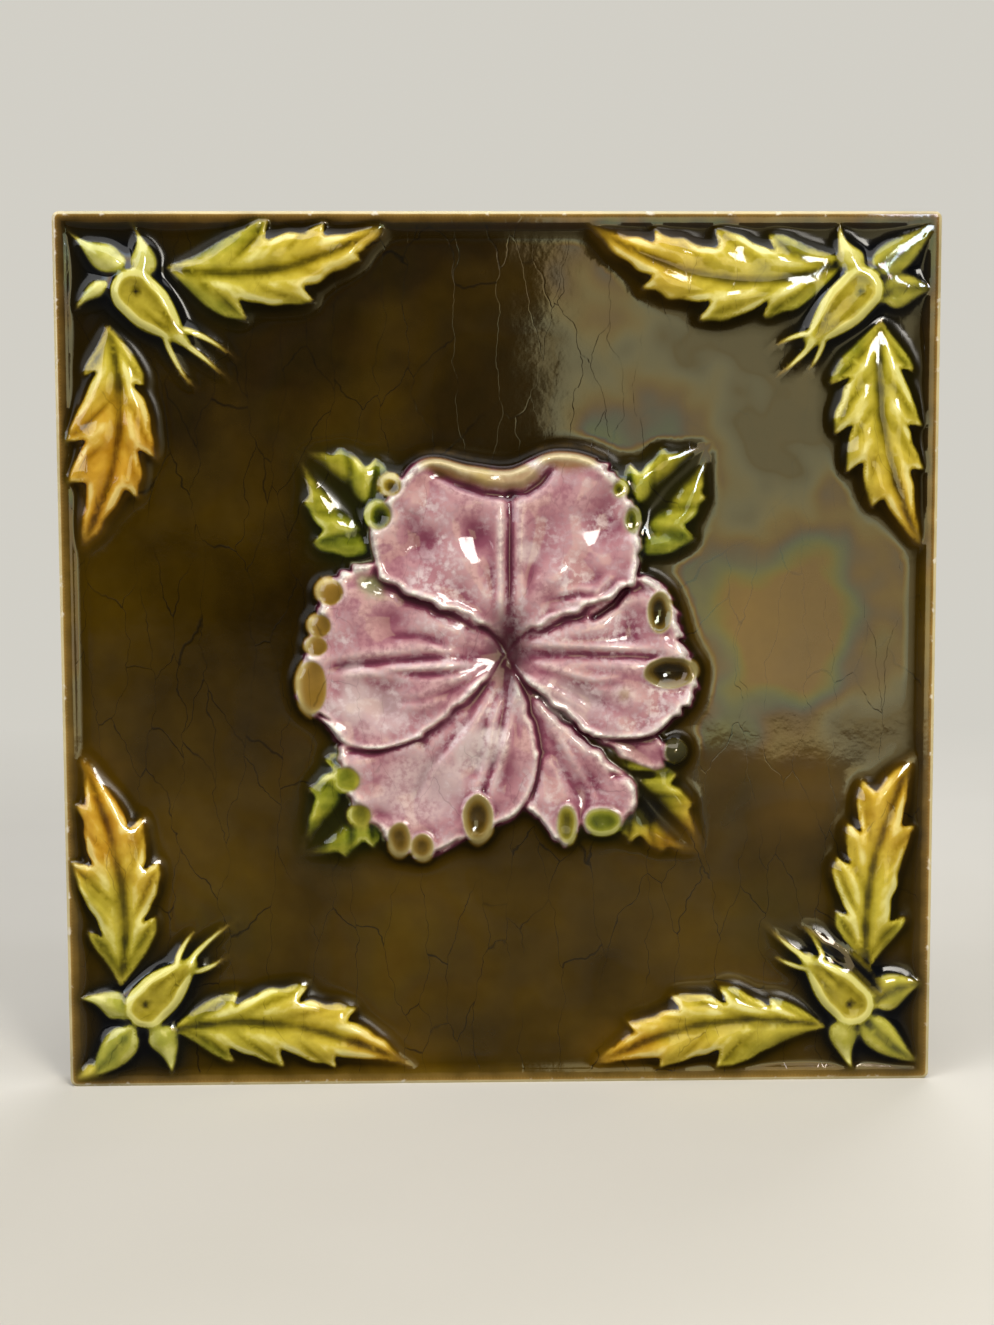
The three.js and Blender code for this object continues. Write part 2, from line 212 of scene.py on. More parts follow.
@dataclass
class PressedFace:
    """The face as a height over the back and its zones, on a square grid.

    The rim is raised, a cove runs down to the sunk field, and the arris is rounded.
    """

    cells: int = 1024
    rim_width: float = 1.6
    cove_width: float = 2.4
    arris: float = 0.45
    layers: dict[Zone, np.ndarray] = field(default_factory=dict)

    def __post_init__(self) -> None:
        """Lays out the grid and the bare body."""
        self.step = TILE_SIDE_MM / self.cells
        line = np.linspace(-HALF_MM, HALF_MM, self.cells + 1)
        self.x, self.z = np.meshgrid(line, line)
        self.edge = HALF_MM - np.maximum(abs(self.x), abs(self.z))
        drop = RIM_HEIGHT_MM - FIELD_HEIGHT_MM
        body = RIM_HEIGHT_MM - drop * smooth(self.rim_width, self.rim_width + self.cove_width, self.edge)
        fall = np.clip((self.arris - self.edge) / self.arris, 0, 1)
        self.height = body - self.arris * (1 - np.sqrt(1 - fall**2))
        self.layers = {zone: np.zeros_like(body) for zone in Zone}

    def window(self, low: Pair, high: Pair) -> Window:
        """The part of the grid between two corners, in mm."""
        rows = slice(max(0, int((low[1] + HALF_MM) / self.step)), int((high[1] + HALF_MM) / self.step) + 2)
        columns = slice(max(0, int((low[0] + HALF_MM) / self.step)), int((high[0] + HALF_MM) / self.step) + 2)
        return rows, columns

    def around(self, centre: Pair, reach: float) -> Window:
        """The part of the grid within reach of a centre, in mm."""
        x, z = centre
        return self.window((x - reach, z - reach), (x + reach, z + reach))

    def raise_to(self, part: Window, height: np.ndarray, inside: np.ndarray, zones: dict) -> None:
        """Presses one form into the face where it stands higher than what is there.

        Args:
            part: the window of the grid.
            height: the form's height over the back, in mm.
            inside: true within the form's outline.
            zones: the value of each zone on the form. Zones that aren't named become 0.
        """
        wins = inside & (height > self.height[part])
        self.height[part] = np.where(wins, height, self.height[part])
        for zone, layer in self.layers.items():
            layer[part] = np.where(wins, zones.get(zone, 0.0), layer[part])

    def spread(self, values: np.ndarray, reach: float) -> np.ndarray:
        """Blurs a grid widely, on every fourth cell.

        Args:
            values: the grid.
            reach: the blur's standard deviation in mm.

        Returns:
            The blurred grid at full size.
        """
        coarse = 4
        small = softened(values[::coarse, ::coarse], reach / (self.step * coarse))
        index = np.arange(self.cells + 1) / coarse
        low = np.floor(index).astype(int).clip(0, small.shape[0] - 2)
        part = index - low
        rows = small[low] * (1 - part)[:, None] + small[low + 1] * part[:, None]
        return rows[:, low] * (1 - part) + rows[:, low + 1] * part

    def glaze_over(self) -> None:
        """Lets the glaze run: it levels the leaves and the feet, and notes its depth over the clay with
        painted shade in the hollows, painted shade on the field round the relief, and dark pooled glaze with
        painted shadow round the buds.
        """
        clay = self.height
        fine = softened(clay, 0.26 / self.step)
        near = softened(clay, 0.9 / self.step)
        far = self.spread(clay, 2.2)
        crisp = fine + 0.4 * np.clip(near - fine, 0, 0.6)
        flowed = softened(clay, 0.95 / self.step)
        flowed = flowed + 0.3 * np.clip(far - flowed, 0, 0.8)
        off_petal = 1 - softened(self.layers[Zone.PETAL], 0.45 / self.step)
        off_rim = smooth(self.rim_width + 0.4, self.rim_width + self.cove_width, self.edge)
        self.height = crisp + off_petal * off_rim * (flowed - crisp)
        # glaze depth and painted shade: pooled glaze and painted shade darken the creases, a broad painted
        # shade lies across wide folds, and the bare edge stays pale
        bare_edge = 0.75 * bell(self.edge - 0.05, 0.4) + 0.1 * (1 - smooth(1.3, 2.3, self.edge))
        valley_shade = 0.16 * np.clip(far - fine, 0, 1.2)
        self.depth = np.clip(0.5 + 0.55 * (near - fine) + valley_shade - bare_edge, 0, 1)
        # painted shade on the field round the raised relief, darker where more relief stands near
        self.relief_shade = np.clip(self.spread(clay - FIELD_HEIGHT_MM, 3.0) / 1.6, 0, 1)
        # dark glaze pooled round the buds and their sepals, with painted shadow there
        self.pool = np.clip(1.9 * self.spread(self.layers[Zone.HUB], 3.0), 0, 1)
        self.tint = np.clip(1.3 * self.spread(self.layers[Zone.GREEN], 2.2), 0, 1)
        for zone, layer in self.layers.items():
            reach = 0.42 if zone in (Zone.LEAF, Zone.GREEN, Zone.AMBER) else 0.15
            self.layers[zone] = softened(layer, reach / self.step)
        self.layers[Zone.LEAF] *= smooth(0.2, 1.5, fine - FIELD_HEIGHT_MM)


@dataclass(frozen=True)
class Blade:
    """A toothed leaf along a bent midrib, from its stem to its tip.

    Teeth are (share along the midrib, half width in mm), on the left and on the right of the way to the tip.
    """

    stem: Pair
    middle: Pair
    tip: Pair
    left: Teeth
    right: Teeth
    rise: float = 2.35
    crease: float = 0.19
    crease_width: float = 0.85
    amber: float = 0.0
    amber_from: float = 0.45
    green: float = 0.4
    green_to: float = 0.7
    notch: float = 0.6
    hook: float = 0.4
    stem_width: float = 0.7
    seed: int = 1

    def toothed(self, teeth: Teeth, u: np.ndarray) -> np.ndarray:
        """The outline's half width, which swells to each tooth and falls back behind it."""
        width = np.zeros_like(u)
        begin, base = 0.0, self.stem_width
        for share, reach in teeth:
            part = np.clip((u - begin) / (share - begin), 0, 1)
            grown = base + (reach - base) * np.sin(part * math.pi / 2) ** 0.95
            width = np.where((u >= begin) & (u <= share), grown, width)
            begin, base = share, reach * self.notch
        part = np.clip(1 - (u - begin) / (1 - begin), 0, 1)
        return np.where(u > begin, base * part**0.8, width)

    def lobes(self, u: np.ndarray, w: np.ndarray, v: np.ndarray) -> np.ndarray:
        """Puffed lobes, between creases that run back from the notches to the midrib.

        Args:
            u: share along the midrib.
            w: distance to its left, in mm.
            v: distance as a share of the leaf's half width.

        Returns:
            The lobes, from 0 to 1.
        """
        place = u + 0.26 * (1 - np.clip(v, 0, 1.2) ** 1.3)
        total = np.zeros_like(u)
        for teeth, on_side in ((self.left, w >= 0), (self.right, w < 0)):
            bounds = [0.0, *[share for share, _ in teeth], 1.25]
            for first, last in zip(bounds, bounds[1:]):
                part = (place - first) / (last - first)
                lobe = np.sin(math.pi * np.clip(part, 0, 1)) ** 0.75
                total = np.where(on_side & (part >= 0) & (part < 1), lobe, total)
        return total * smooth(0.05, 0.4, v)

    def press(self, face: PressedFace) -> None:
        """Presses the leaf into the face."""
        line = bent_line(self.stem, self.middle, self.tip)
        part = face.window(line.min(0) - 12, line.max(0) + 12)
        x, z = face.x[part], face.z[part]
        u, w, length = beside_line(x, z, line)
        on_left = w >= 0
        shares = [[0, *[t[0] for t in side], 1] for side in (self.left, self.right)]
        widths = [[self.stem_width, *[t[1] for t in side], 0.3] for side in (self.left, self.right)]
        full = np.where(on_left, np.interp(u, shares[0], widths[0]), np.interp(u, shares[1], widths[1]))
        hooked = u - self.hook * (abs(w) - full) / length
        toothed = np.where(on_left, self.toothed(self.left, hooked), self.toothed(self.right, hooked))
        ragged = 0.2 + 0.42 * cloudy(x, z, 2.5, self.seed + 9) * smooth(0.1, 0.3, u)
        within = toothed - abs(w) + ragged
        v = abs(w) / np.maximum(full, 0.3)
        along = self.rise * (0.55 + 0.45 * smooth(0, 0.25, u) - 0.5 * smooth(0.6, 1, u))
        crown = 0.86 - 0.46 * v**2 + 0.15 * bell(within - 0.8, 0.45)
        crown -= self.crease * bell(w, self.crease_width)
        lobes = self.lobes(u, w, v)
        side_veins = 0.035 * np.sin((u + 0.26 * (1 - v)) * length * 2.4) * smooth(0.15, 0.4, v)
        shape = crown + 0.34 * lobes + side_veins + 0.06 * cloudy(x, z, 3.0, self.seed)
        height = FIELD_HEIGHT_MM + along * shape * smooth(-0.35, 1.35, within)
        patchy = cloudy(x, z, 7.0, self.seed + 5)
        greener = self.green * (1 - smooth(0.1, self.green_to, u))
        zones = {
            Zone.LEAF: 1.0 - 0.35 * smooth(0.8, 1.0, u),
            Zone.GREEN: greener + 0.5 * smooth(0.6, 1.0, v) * (1 - self.amber),
            Zone.AMBER: self.amber * smooth(self.amber_from, self.amber_from + 0.5, u + 0.14 * patchy),
        }
        face.raise_to(part, height, within > -0.35, zones)


@dataclass(frozen=True)
class Taper:
    """A toothless sepal or thread, widest near its base."""

    base: Pair
    tip: Pair
    half_width: float
    bow: float
    rise: float = 2.0
    green: float = 0.35
    hollow: float = 0.0
    pale: float = 0.1
    hub: float = 1.0
    point: float = 0.0
    horned: float = 0.0
    leaf: float = 1.0

    def press(self, face: PressedFace) -> None:
        """Presses the sepal into the face."""
        base, tip = np.array(self.base, float), np.array(self.tip, float)
        along = (tip - base) / np.linalg.norm(tip - base)
        middle = (base + tip) / 2 + np.array([-along[1], along[0]]) * self.bow
        line = bent_line(self.base, tuple(middle), self.tip, 16)
        part = face.window(line.min(0) - 5, line.max(0) + 5)
        u, w, _ = beside_line(face.x[part], face.z[part], line)
        lens = np.sin(math.pi * (0.16 + 0.84 * u**0.7))
        horn = np.maximum(bell(u - 0.16, 0.34), 0.42 * (1 - u))
        share = lens + self.horned * (horn - lens) + self.point * (1 - u - lens)
        width = np.maximum(0.12, self.half_width * share)
        within = width - abs(w)
        v = abs(w) / width
        shape = (1 - 0.55 * v**2 - self.hollow * bell(v, 0.35)) * (1 - 0.6 * u**2)
        height = FIELD_HEIGHT_MM + self.rise * shape * smooth(-0.15, 0.5, within)
        zones = {Zone.LEAF: self.leaf, Zone.GREEN: self.green, Zone.PALE: self.pale, Zone.HUB: self.hub}
        face.raise_to(part, height, within > -0.15, zones)


@dataclass(frozen=True)
class Thread:
    """A thread that curls out of a bud's mouth."""

    base: Pair
    tip: Pair
    bow: float


@dataclass(frozen=True)
class Bud:
    """A half open bud: a thick rounded rim round a shallow hollow, open at the mouth."""

    start: Pair
    end: Pair
    half_width: float
    threads: tuple[Thread, ...]
    rise: float = 3.0

    def press(self, face: PressedFace) -> None:
        """Presses the threads and then the bud into the face."""
        for thread in self.threads:
            curl = Taper(thread.base, thread.tip, 0.85, thread.bow, 2.1, 0.4, pale=0.0, hub=0.4, point=1.0)
            curl.press(face)
        start, end = np.array(self.start, float), np.array(self.end, float)
        part = face.window(np.minimum(start, end) - 6, np.maximum(start, end) + 6)
        x, z = face.x[part] - start[0], face.z[part] - start[1]
        length = np.linalg.norm(end - start)
        axis = (end - start) / length
        along = x * axis[0] + z * axis[1]
        w = z * axis[0] - x * axis[1]
        u = along / length
        taper = self.half_width * (1 - 0.78 * smooth(0.4, 1.1, u))
        round_end = self.half_width - np.hypot(along - self.half_width, w)
        within = np.where(along < self.half_width, round_end, taper - abs(w))
        within = np.minimum(within, (length - along) * 0.6 + 0.3 * np.sin(w * 2.6))
        rim = bell(within - 1.15, 0.7)
        groove = 0.16 * (bell(w + 0.9, 0.4) + bell(w - 1.1, 0.4)) * smooth(0.35, 0.7, u)
        shape = 0.86 + 0.14 * rim - 0.12 * smooth(1.0, 2.6, within) - groove
        sinking = 1 - 0.3 * smooth(0.55, 1, u)
        height = FIELD_HEIGHT_MM + self.rise * shape * sinking * smooth(-0.15, 0.7, within)
        dot = bell(np.hypot(along - self.half_width - 0.3, w - 0.4), 0.6)
        green = 0.95 - 0.35 * smooth(0.6, 2.0, within)
        zones = {Zone.LEAF: 1.0, Zone.GREEN: green, Zone.AMBER: 0.2, Zone.DARK: dot, Zone.HUB: 1.0}
        face.raise_to(part, height - 0.5 * dot, within > -0.15, zones)


@dataclass(frozen=True)
class Petal:
    """A petal as a fan round the throat.

    Angles in degrees run anticlockwise from +X. The radii of the outer edge stand at equal angles, and
    near_start and near_end are how far the sides swing back at the throat.
    """

    start: float
    end: float
    near_start: float
    near_end: float
    level: float
    groove: float
    radii: tuple[float, ...]
    pleats: int
    frill: Pair = (0.0, 1.0)
    swing_power: float = 1.5
    seed: int = 0
    rise: float = 3.75
    throat_rise: float = 0.75

    def outer_radius(self, t: np.ndarray) -> np.ndarray:
        """A smooth curve through the radii, at shares t of the petal's angle."""
        values = np.array(self.radii, float)
        place = np.clip(t, 0, 1) * (len(values) - 1)
        i = np.clip(np.floor(place).astype(int), 0, len(values) - 2)
        q = place - i
        before, after = values[np.clip(i - 1, 0, None)], values[np.clip(i + 2, None, len(values) - 1)]
        a, b = values[i], values[i + 1]
        cubic = 3 * a - before - 3 * b + after
        return 0.5 * (2 * a + (b - before) * q + (2 * before - 5 * a + 4 * b - after) * q**2 + cubic * q**3)

    def across(self, x: np.ndarray, z: np.ndarray) -> tuple[np.ndarray, np.ndarray, np.ndarray, np.ndarray]:
        """The petal's own coordinates at places on the face.

        Args:
            x: places across, in mm.
            z: places up, in mm.

        Returns:
            The distance from the throat, its share of the petal's length, the share of the petal's
            angle, and the petal's width there in mm.
        """
        r = np.hypot(x - THROAT_MM[0], z - THROAT_MM[1])
        middle = (self.start + self.end) / 2
        angle = np.degrees(np.arctan2(z - THROAT_MM[1], x - THROAT_MM[0]))
        angle = middle + (angle - middle + 180) % 360 - 180
        span = self.end - self.start
        t = (angle - self.start) / span
        swing = np.zeros_like(t)
        for _ in range(5):
            swing = np.clip(1 - r / self.outer_radius(t), 0, 1) ** self.swing_power
            opened = span + swing * (self.near_end - self.near_start)
            t = (angle - self.start - swing * self.near_start) / opened
        width = np.radians(span + swing * (self.near_end - self.near_start)) * r
        return r, r / self.outer_radius(t), t, width

    def folds(self, s: np.ndarray, t: np.ndarray, width: np.ndarray, x: np.ndarray, z: np.ndarray
              ) -> np.ndarray:
        """The groove along the petal, the cheeks beside it, and the pleats and dents of its blade.

        Args:
            s: share of the petal's length.
            t: share of the petal's angle.
            width: the petal's width there, in mm.
            x: places across, in mm.
            z: places up, in mm.

        Returns:
            What they add to the petal's rise, as a share of it.
        """
        off = (t - self.groove) * width
        turn = (t - self.groove) * 2 * math.pi * self.pleats
        fold = -0.24 * bell(off, 0.95) * (1 - smooth(0.78, 0.95, s))
        cheeks = (0.06 * bell(off + 1.9, 1.0) + 0.15 * bell(off - 1.7, 0.75)) * (1 - smooth(0.6, 0.9, s))
        pleats = 0.065 * np.cos(turn) * smooth(0.15, 0.4, s) * (1 - 0.5 * smooth(0.5, 0.8, s))
        swollen = 0.1 * cloudy(x, z, 7.0, self.seed + 4)
        hammered = swollen + 0.055 * cloudy(x, z, 3.2, self.seed + 1)
        return fold + cheeks + pleats + hammered * smooth(0.2, 0.5, s)

    def press(self, face: PressedFace) -> None:
        """Presses the petal into the face, over the petals that it covers."""
        part = face.window((-40, -41), (40, 41))
        x, z = face.x[part], face.z[part]
        r, s, t, width = self.across(x, z)
        wobble = 0.24 * np.sin(1.05 * r + 2 * self.seed) + 0.12 * np.sin(1.9 * r + self.seed)
        wobble *= smooth(4, 9, r)
        near, far = t * width + wobble, (1 - t) * width + 0.9 * wobble
        rim = self.outer_radius(t) - r
        first, last = self.frill
        frilled = smooth(first - 0.03, first + 0.03, t) * (1 - smooth(last - 0.03, last + 0.03, t))
        uneven = near + 0.8 * cloudy(x, z, 5.0, self.seed + 7)
        scallop = abs(np.sin(uneven * 0.92 + self.seed)) ** 0.6 - 0.6
        scallop += 0.25 * np.sin(near * 2.9 + self.seed)
        within = np.minimum(np.minimum(near, far), rim + frilled * scallop)
        # a leaf stays below the petal that covers it, and a petal sinks beside one that hangs over it
        leafy = (face.layers[Zone.LEAF][part] > 0.5) & (within > 0)
        sunk = np.minimum(face.height[part], FIELD_HEIGHT_MM + 1.0)
        face.height[part] = np.where(leafy, sunk, face.height[part])
        covered = (face.layers[Zone.PETAL][part] > 0.5) & (within < 0.3)
        room = np.minimum(0.6, np.clip(face.height[part] - FIELD_HEIGHT_MM - 1.0, 0, None))
        face.height[part] -= room * bell(np.clip(-within, 0, None) - 0.5, 1.1) * covered * smooth(3, 7, r)
        rolled = 1 + 0.5 * cloudy(x, z, 6.0, self.seed + 8)
        sides = 0.13 * rolled * smooth(0.12, 0.35, s) * (bell(near - 0.6, 0.85) + bell(far - 0.6, 0.85))
        curl = 0.10 * rolled * bell(rim - 0.7, 1.0)
        wave = 0.07 * frilled * np.sin(near * 0.95 + 1.3 * self.seed) * (1 - smooth(1.5, 7.0, rim))
        shape = 0.86 + sides + curl + wave + self.folds(s, t, width, x, z)
        top = self.throat_rise + (self.rise * self.level * shape - self.throat_rise) * smooth(0.02, 0.32, s)
        height = FIELD_HEIGHT_MM + top * smooth(-0.6, 0.75, within)
        face.raise_to(part, height, within > -0.5, {Zone.PETAL: 1.0})


@dataclass(frozen=True)
class Scallop:
    """A dished lobe in a frilled edge, where a clear coloured glaze gathered behind a thin rim."""

    centre: Pair
    radii: Pair
    green: float
    ochre: float = 0.0
    dark: float = 0.0
    rise: float = 2.9
    depth: float = 0.9

    def press(self, face: PressedFace) -> None:
        """Replaces what is there by the lobe, and changes its glaze."""
        x0, z0 = self.centre
        part = face.around(self.centre, max(self.radii) * 1.4 + 1)
        x, z = face.x[part], face.z[part]
        q = np.hypot((x - x0) / self.radii[0], (z - z0) / self.radii[1]) + 0.05 * cloudy(x, z, 1.8, 9)
        out = (q - 1) * min(self.radii)
        profile = self.rise - self.depth * (1 - smooth(0.3, 1.0, q)) + 0.12 * bell(out, 0.35)
        lobe = FIELD_HEIGHT_MM + profile * (1 - smooth(-0.1, 0.8, out))
        face.height[part] = np.where(q < 0.97, lobe, np.maximum(face.height[part], lobe))
        outside = (face.layers[Zone.PETAL][part] < 0.5) & (out < 0.6)
        mark = np.where(outside, 1.0, 1 - smooth(-0.2, 0.1, out)) * (out < 0.9)
        values = {Zone.LEAF: 1.0, Zone.GREEN: self.green, Zone.OCHRE: self.ochre, Zone.DARK: self.dark}
        for zone, layer in face.layers.items():
            layer[part] = layer[part] * (1 - mark) + values.get(zone, 0.0) * mark


@dataclass(frozen=True)
class Fold:
    """A crease along a bent line in what is already there, with a raised lip on its left."""

    points: tuple[Pair, ...]
    depth: float
    width: float
    lip: float = 0.0
    lip_at: float = 1.2

    def press(self, face: PressedFace) -> None:
        """Sinks the crease and raises its lip, fading at both ends."""
        line = np.array(self.points, float)
        part = face.window(line.min(0) - 5, line.max(0) + 5)
        u, w, _ = beside_line(face.x[part], face.z[part], line)
        fade = smooth(0, 0.16, u) * (1 - smooth(0.84, 1, u))
        on = smooth(0.3, 1.0, face.height[part] - FIELD_HEIGHT_MM) * fade
        face.height[part] += on * (self.lip * bell(w - self.lip_at, 0.8) - self.depth * bell(w, self.width))


@dataclass(frozen=True)
class Swell:
    """A soft swelling of the petals, or a hollow where its height is negative."""

    centre: Pair
    radius: float
    height: float

    def press(self, face: PressedFace) -> None:
        """Lifts or sinks the petals round the centre."""
        x0, z0 = self.centre
        part = face.around(self.centre, self.radius * 2.5)
        away = np.hypot(face.x[part] - x0, face.z[part] - z0)
        on = softened(face.layers[Zone.PETAL][part], 0.5 / face.step)
        face.height[part] += self.height * bell(away, self.radius) * on


@dataclass(frozen=True)
class Stain:
    """A patch where another glaze ran or the glaze stayed thin."""

    centre: Pair
    radii: Pair
    zone: Zone
    amount: float = 0.8
    turn: float = 0.0

    def press(self, face: PressedFace) -> None:
        """Lays the patch over the colours that are there."""
        x0, z0 = self.centre
        part = face.around(self.centre, max(self.radii) * 1.6 + 1)
        x, z = face.x[part] - x0, face.z[part] - z0
        turn = math.radians(self.turn)
        along, across = x * math.cos(turn) + z * math.sin(turn), z * math.cos(turn) - x * math.sin(turn)
        q = np.hypot(along / self.radii[0], across / self.radii[1])
        q = q + 0.18 * cloudy(face.x[part], face.z[part], 1.6, 21)
        mark = self.amount * (1 - smooth(0.6, 1.1, q))
        layer = face.layers[self.zone]
        layer[part] = layer[part] * (1 - mark) + mark


LEAF_TIPS = (
    Blade((-17, 17), (-26, 26.5), (-34.8, 35.2), ((0.5, 9.6), (0.74, 6.2)), ((0.6, 9.6), (0.82, 6.2)),
          rise=2.1, crease=0.8, hook=0.0, notch=0.72, crease_width=2.9, green=0.85, green_to=1.9, seed=11),
    Blade((17, 17), (27, 26.5), (36.5, 36.5), ((0.56, 8.6), (0.78, 6)), ((0.52, 9.4), (0.74, 6.4)),
          rise=2.1, crease=0.8, hook=0.0, notch=0.72, crease_width=2.9, green=0.8, green_to=1.6, seed=12),
    Blade((-17, -17), (-26, -26), (-35, -35), ((0.62, 8.4), (0.8, 6.2)), ((0.42, 9.6), (0.64, 7.6)),
          rise=2.1, crease=0.8, hook=0.0, notch=0.72, crease_width=2.9, green=1.0, green_to=2.4, seed=13),
    Blade((17, -17), (26, -26), (35.4, -35.2), ((0.5, 7.6), (0.72, 5.8)), ((0.6, 8), (0.8, 5.2)),
          rise=1.7, crease=0.8, hook=0.0, notch=0.72, crease_width=2.6, amber=0.7, green=0.7,
          green_to=1.2, seed=14),
)
LEAVES = (
    Blade((-56.2, 66.6), (-37, 66.4), (-17.6, 74.8), ((0.46, 8.9), (0.72, 5.6)),
          ((0.32, 8.2), (0.57, 6.9), (0.8, 3.4)), amber=0.35, seed=1),
    Blade((-66.8, 56.4), (-65.2, 38), (-72.2, 18.6), ((0.27, 4.5), (0.54, 6.4), (0.71, 5.6)),
          ((0.2, 6.5), (0.55, 9.2), (0.75, 7.1)), amber=1.0, amber_from=0.12, green=0.2, seed=2),
    Blade((60, 67.9), (38, 64.6), (13.8, 74.8), ((0.32, 6.4), (0.51, 7.8), (0.71, 5.4)),
          ((0.29, 8.4), (0.52, 8.5), (0.75, 5)), amber=0.55, seed=3),
    Blade((65.8, 57.2), (66.4, 38), (73.5, 18.2), ((0.22, 6.7), (0.48, 6.9), (0.68, 5.6)),
          ((0.26, 8.5), (0.45, 8.8), (0.6, 7.9), (0.76, 5.4)), amber=0.5, seed=4),
    Blade((-66.8, -57.6), (-66.4, -38.5), (-73.2, -17), ((0.23, 7), (0.57, 8.4), (0.82, 4.5)),
          ((0.29, 5.7), (0.5, 7.2), (0.68, 6.6)), amber=0.95, amber_from=0.25, green=0.4, seed=5),
    Blade((-57.8, -65.8), (-36.5, -65.2), (-15, -73.3), ((0.27, 5.6), (0.51, 7.6), (0.7, 5.8)),
          ((0.24, 7.6), (0.47, 7.9), (0.7, 6.2)), amber=0.45, green=0.4, seed=6),
    Blade((57.2, -66.4), (37, -65.3), (15.4, -73.3), ((0.48, 9), (0.74, 6.4)),
          ((0.24, 3.9), (0.42, 6.1), (0.6, 6.3), (0.79, 4.4)), amber=0.6, green=0.25, seed=7),
    Blade((64.9, -56), (65.5, -37), (73.6, -17), ((0.26, 5.8), (0.47, 7.1), (0.61, 6.5), (0.79, 7)),
          ((0.24, 7.7), (0.69, 5.4)), amber=0.6, amber_from=0.3, green=0.25, seed=8),
)
SEPALS = (
    Taper((-65, 67.2), (-75.2, 74.9), 2.7, 0.8, 2.6, green=0.7, horned=1.0),
    Taper((-60.8, 65.6), (-63.8, 75.2), 2.6, -1.4, 2.6, green=0.7, horned=1.0),
    Taper((-67.2, 63.6), (-73, 58.6), 1.7, -0.6, green=0.7, horned=0.5),
    Taper((61.4, 66.2), (58.4, 75.2), 2.7, 1.0, 2.6, green=0.5, horned=0.8),
    Taper((64.2, 66.2), (75.2, 74.9), 3.1, -0.8, hollow=0.35, green=0.6),
    Taper((65.8, 61.6), (75, 62.6), 3.3, 0.8, hollow=0.35, green=0.6),
    Taper((-66.2, -62.4), (-74.8, -60.4), 2.9, -1.0, 2.5, green=0.8, horned=0.5),
    Taper((-65.2, -65.8), (-73.6, -74.9), 3.3, 0.6, 2.5, green=0.8, hollow=0.3),
    Taper((-60.6, -65.6), (-58.2, -74.4), 3.0, 0.8, 2.5, green=0.8, horned=0.4),
    Taper((65.8, -61.8), (75, -58.8), 3.6, 0.8, 2.5, green=0.5, hollow=0.4),
    Taper((64.2, -64.8), (74.6, -73.4), 3.2, -0.6, 2.5, green=0.6, hollow=0.4),
    Taper((60.8, -65.4), (62.8, -74.8), 3.0, -0.8, 2.5, green=0.6, horned=0.5),
    Taper((-71.6, -72.2), (-75.4, -75.0), 1.6, 0.2, 1.6, green=0.3),
    Taper((67.0, -60.0), (52.2, -47.6), 1.9, -0.9, 2.4, green=0.0, pale=0.0, leaf=0.0),
)
BUDS = (
    Bud((-65.2, 65.4), (-53.2, 53.4), 4.3, (Thread((-57, 54.6), (-50, 43.6), -0.9),
        Thread((-54.6, 54.2), (-44.6, 45.2), 0.5), Thread((-53.6, 56), (-43.4, 48.8), 1.0))),
    Bud((64.8, 65.8), (52.2, 52.6), 4.3, (Thread((55.6, 53.6), (51.6, 47.2), 0.6),
        Thread((53.6, 55.4), (45.2, 51.2), -0.8), Thread((54, 53.6), (45.4, 46.2), 0.4))),
    Bud((-65.2, -64.4), (-53, -52.6), 4.2, (Thread((-56.8, -53.4), (-51.4, -46.6), 0.8),
        Thread((-53.4, -55.4), (-47.2, -51.4), -0.8), Thread((-54.6, -53.4), (-44.2, -45.2), 0.6))),
    Bud((65, -65), (52.8, -52.8), 4.3, (Thread((56.8, -53.6), (51.6, -47.4), -0.8),
        Thread((54, -55.8), (46.2, -51.8), 0.8), Thread((54, -54), (45.3, -46.7), 0.4))),
)
PETALS = (
    Petal(-84, -45, 0, -12, 0.52, 0.55, (27, 29.4, 34.4, 32.6, 33.8, 35.4, 35.6, 35, 32), 3,
          frill=(0.05, 0.9), seed=1),
    Petal(-42, -27, -6, 0, 0.44, 0.4, (27, 32.6, 33.6, 32, 28), 1, seed=2),
    Petal(-152, -71, 20, 9, 0.68, 0.62,
          (33.6, 35.6, 37.2, 37.6, 38.6, 37.6, 33, 30.2, 28.2, 23.6, 17.5), 4, frill=(0.02, 0.72), seed=3),
    Petal(-45, 35, -26, 30, 0.86, 0.55,
          (20.4, 24.6, 29, 31, 33.2, 32.4, 30.6, 30.2, 29.6, 28.4, 25), 5, frill=(0.3, 0.98),
          swing_power=2.6, seed=4),
    Petal(143, 224, -20, 10, 0.82, 0.5,
          (28, 31.2, 33, 33.6, 34.2, 35, 36.6, 33.6, 32.6, 28, 20.4), 4, frill=(0.05, 0.78), seed=5),
    Petal(28.5, 149, 36, -44, 1.0, 0.5,
          (25.4, 30.3, 34.6, 37, 36, 32.2, 33.4, 36.7, 34.6, 32.3, 26), 4, frill=(0.06, 0.3),
          swing_power=3.0, seed=6),
)
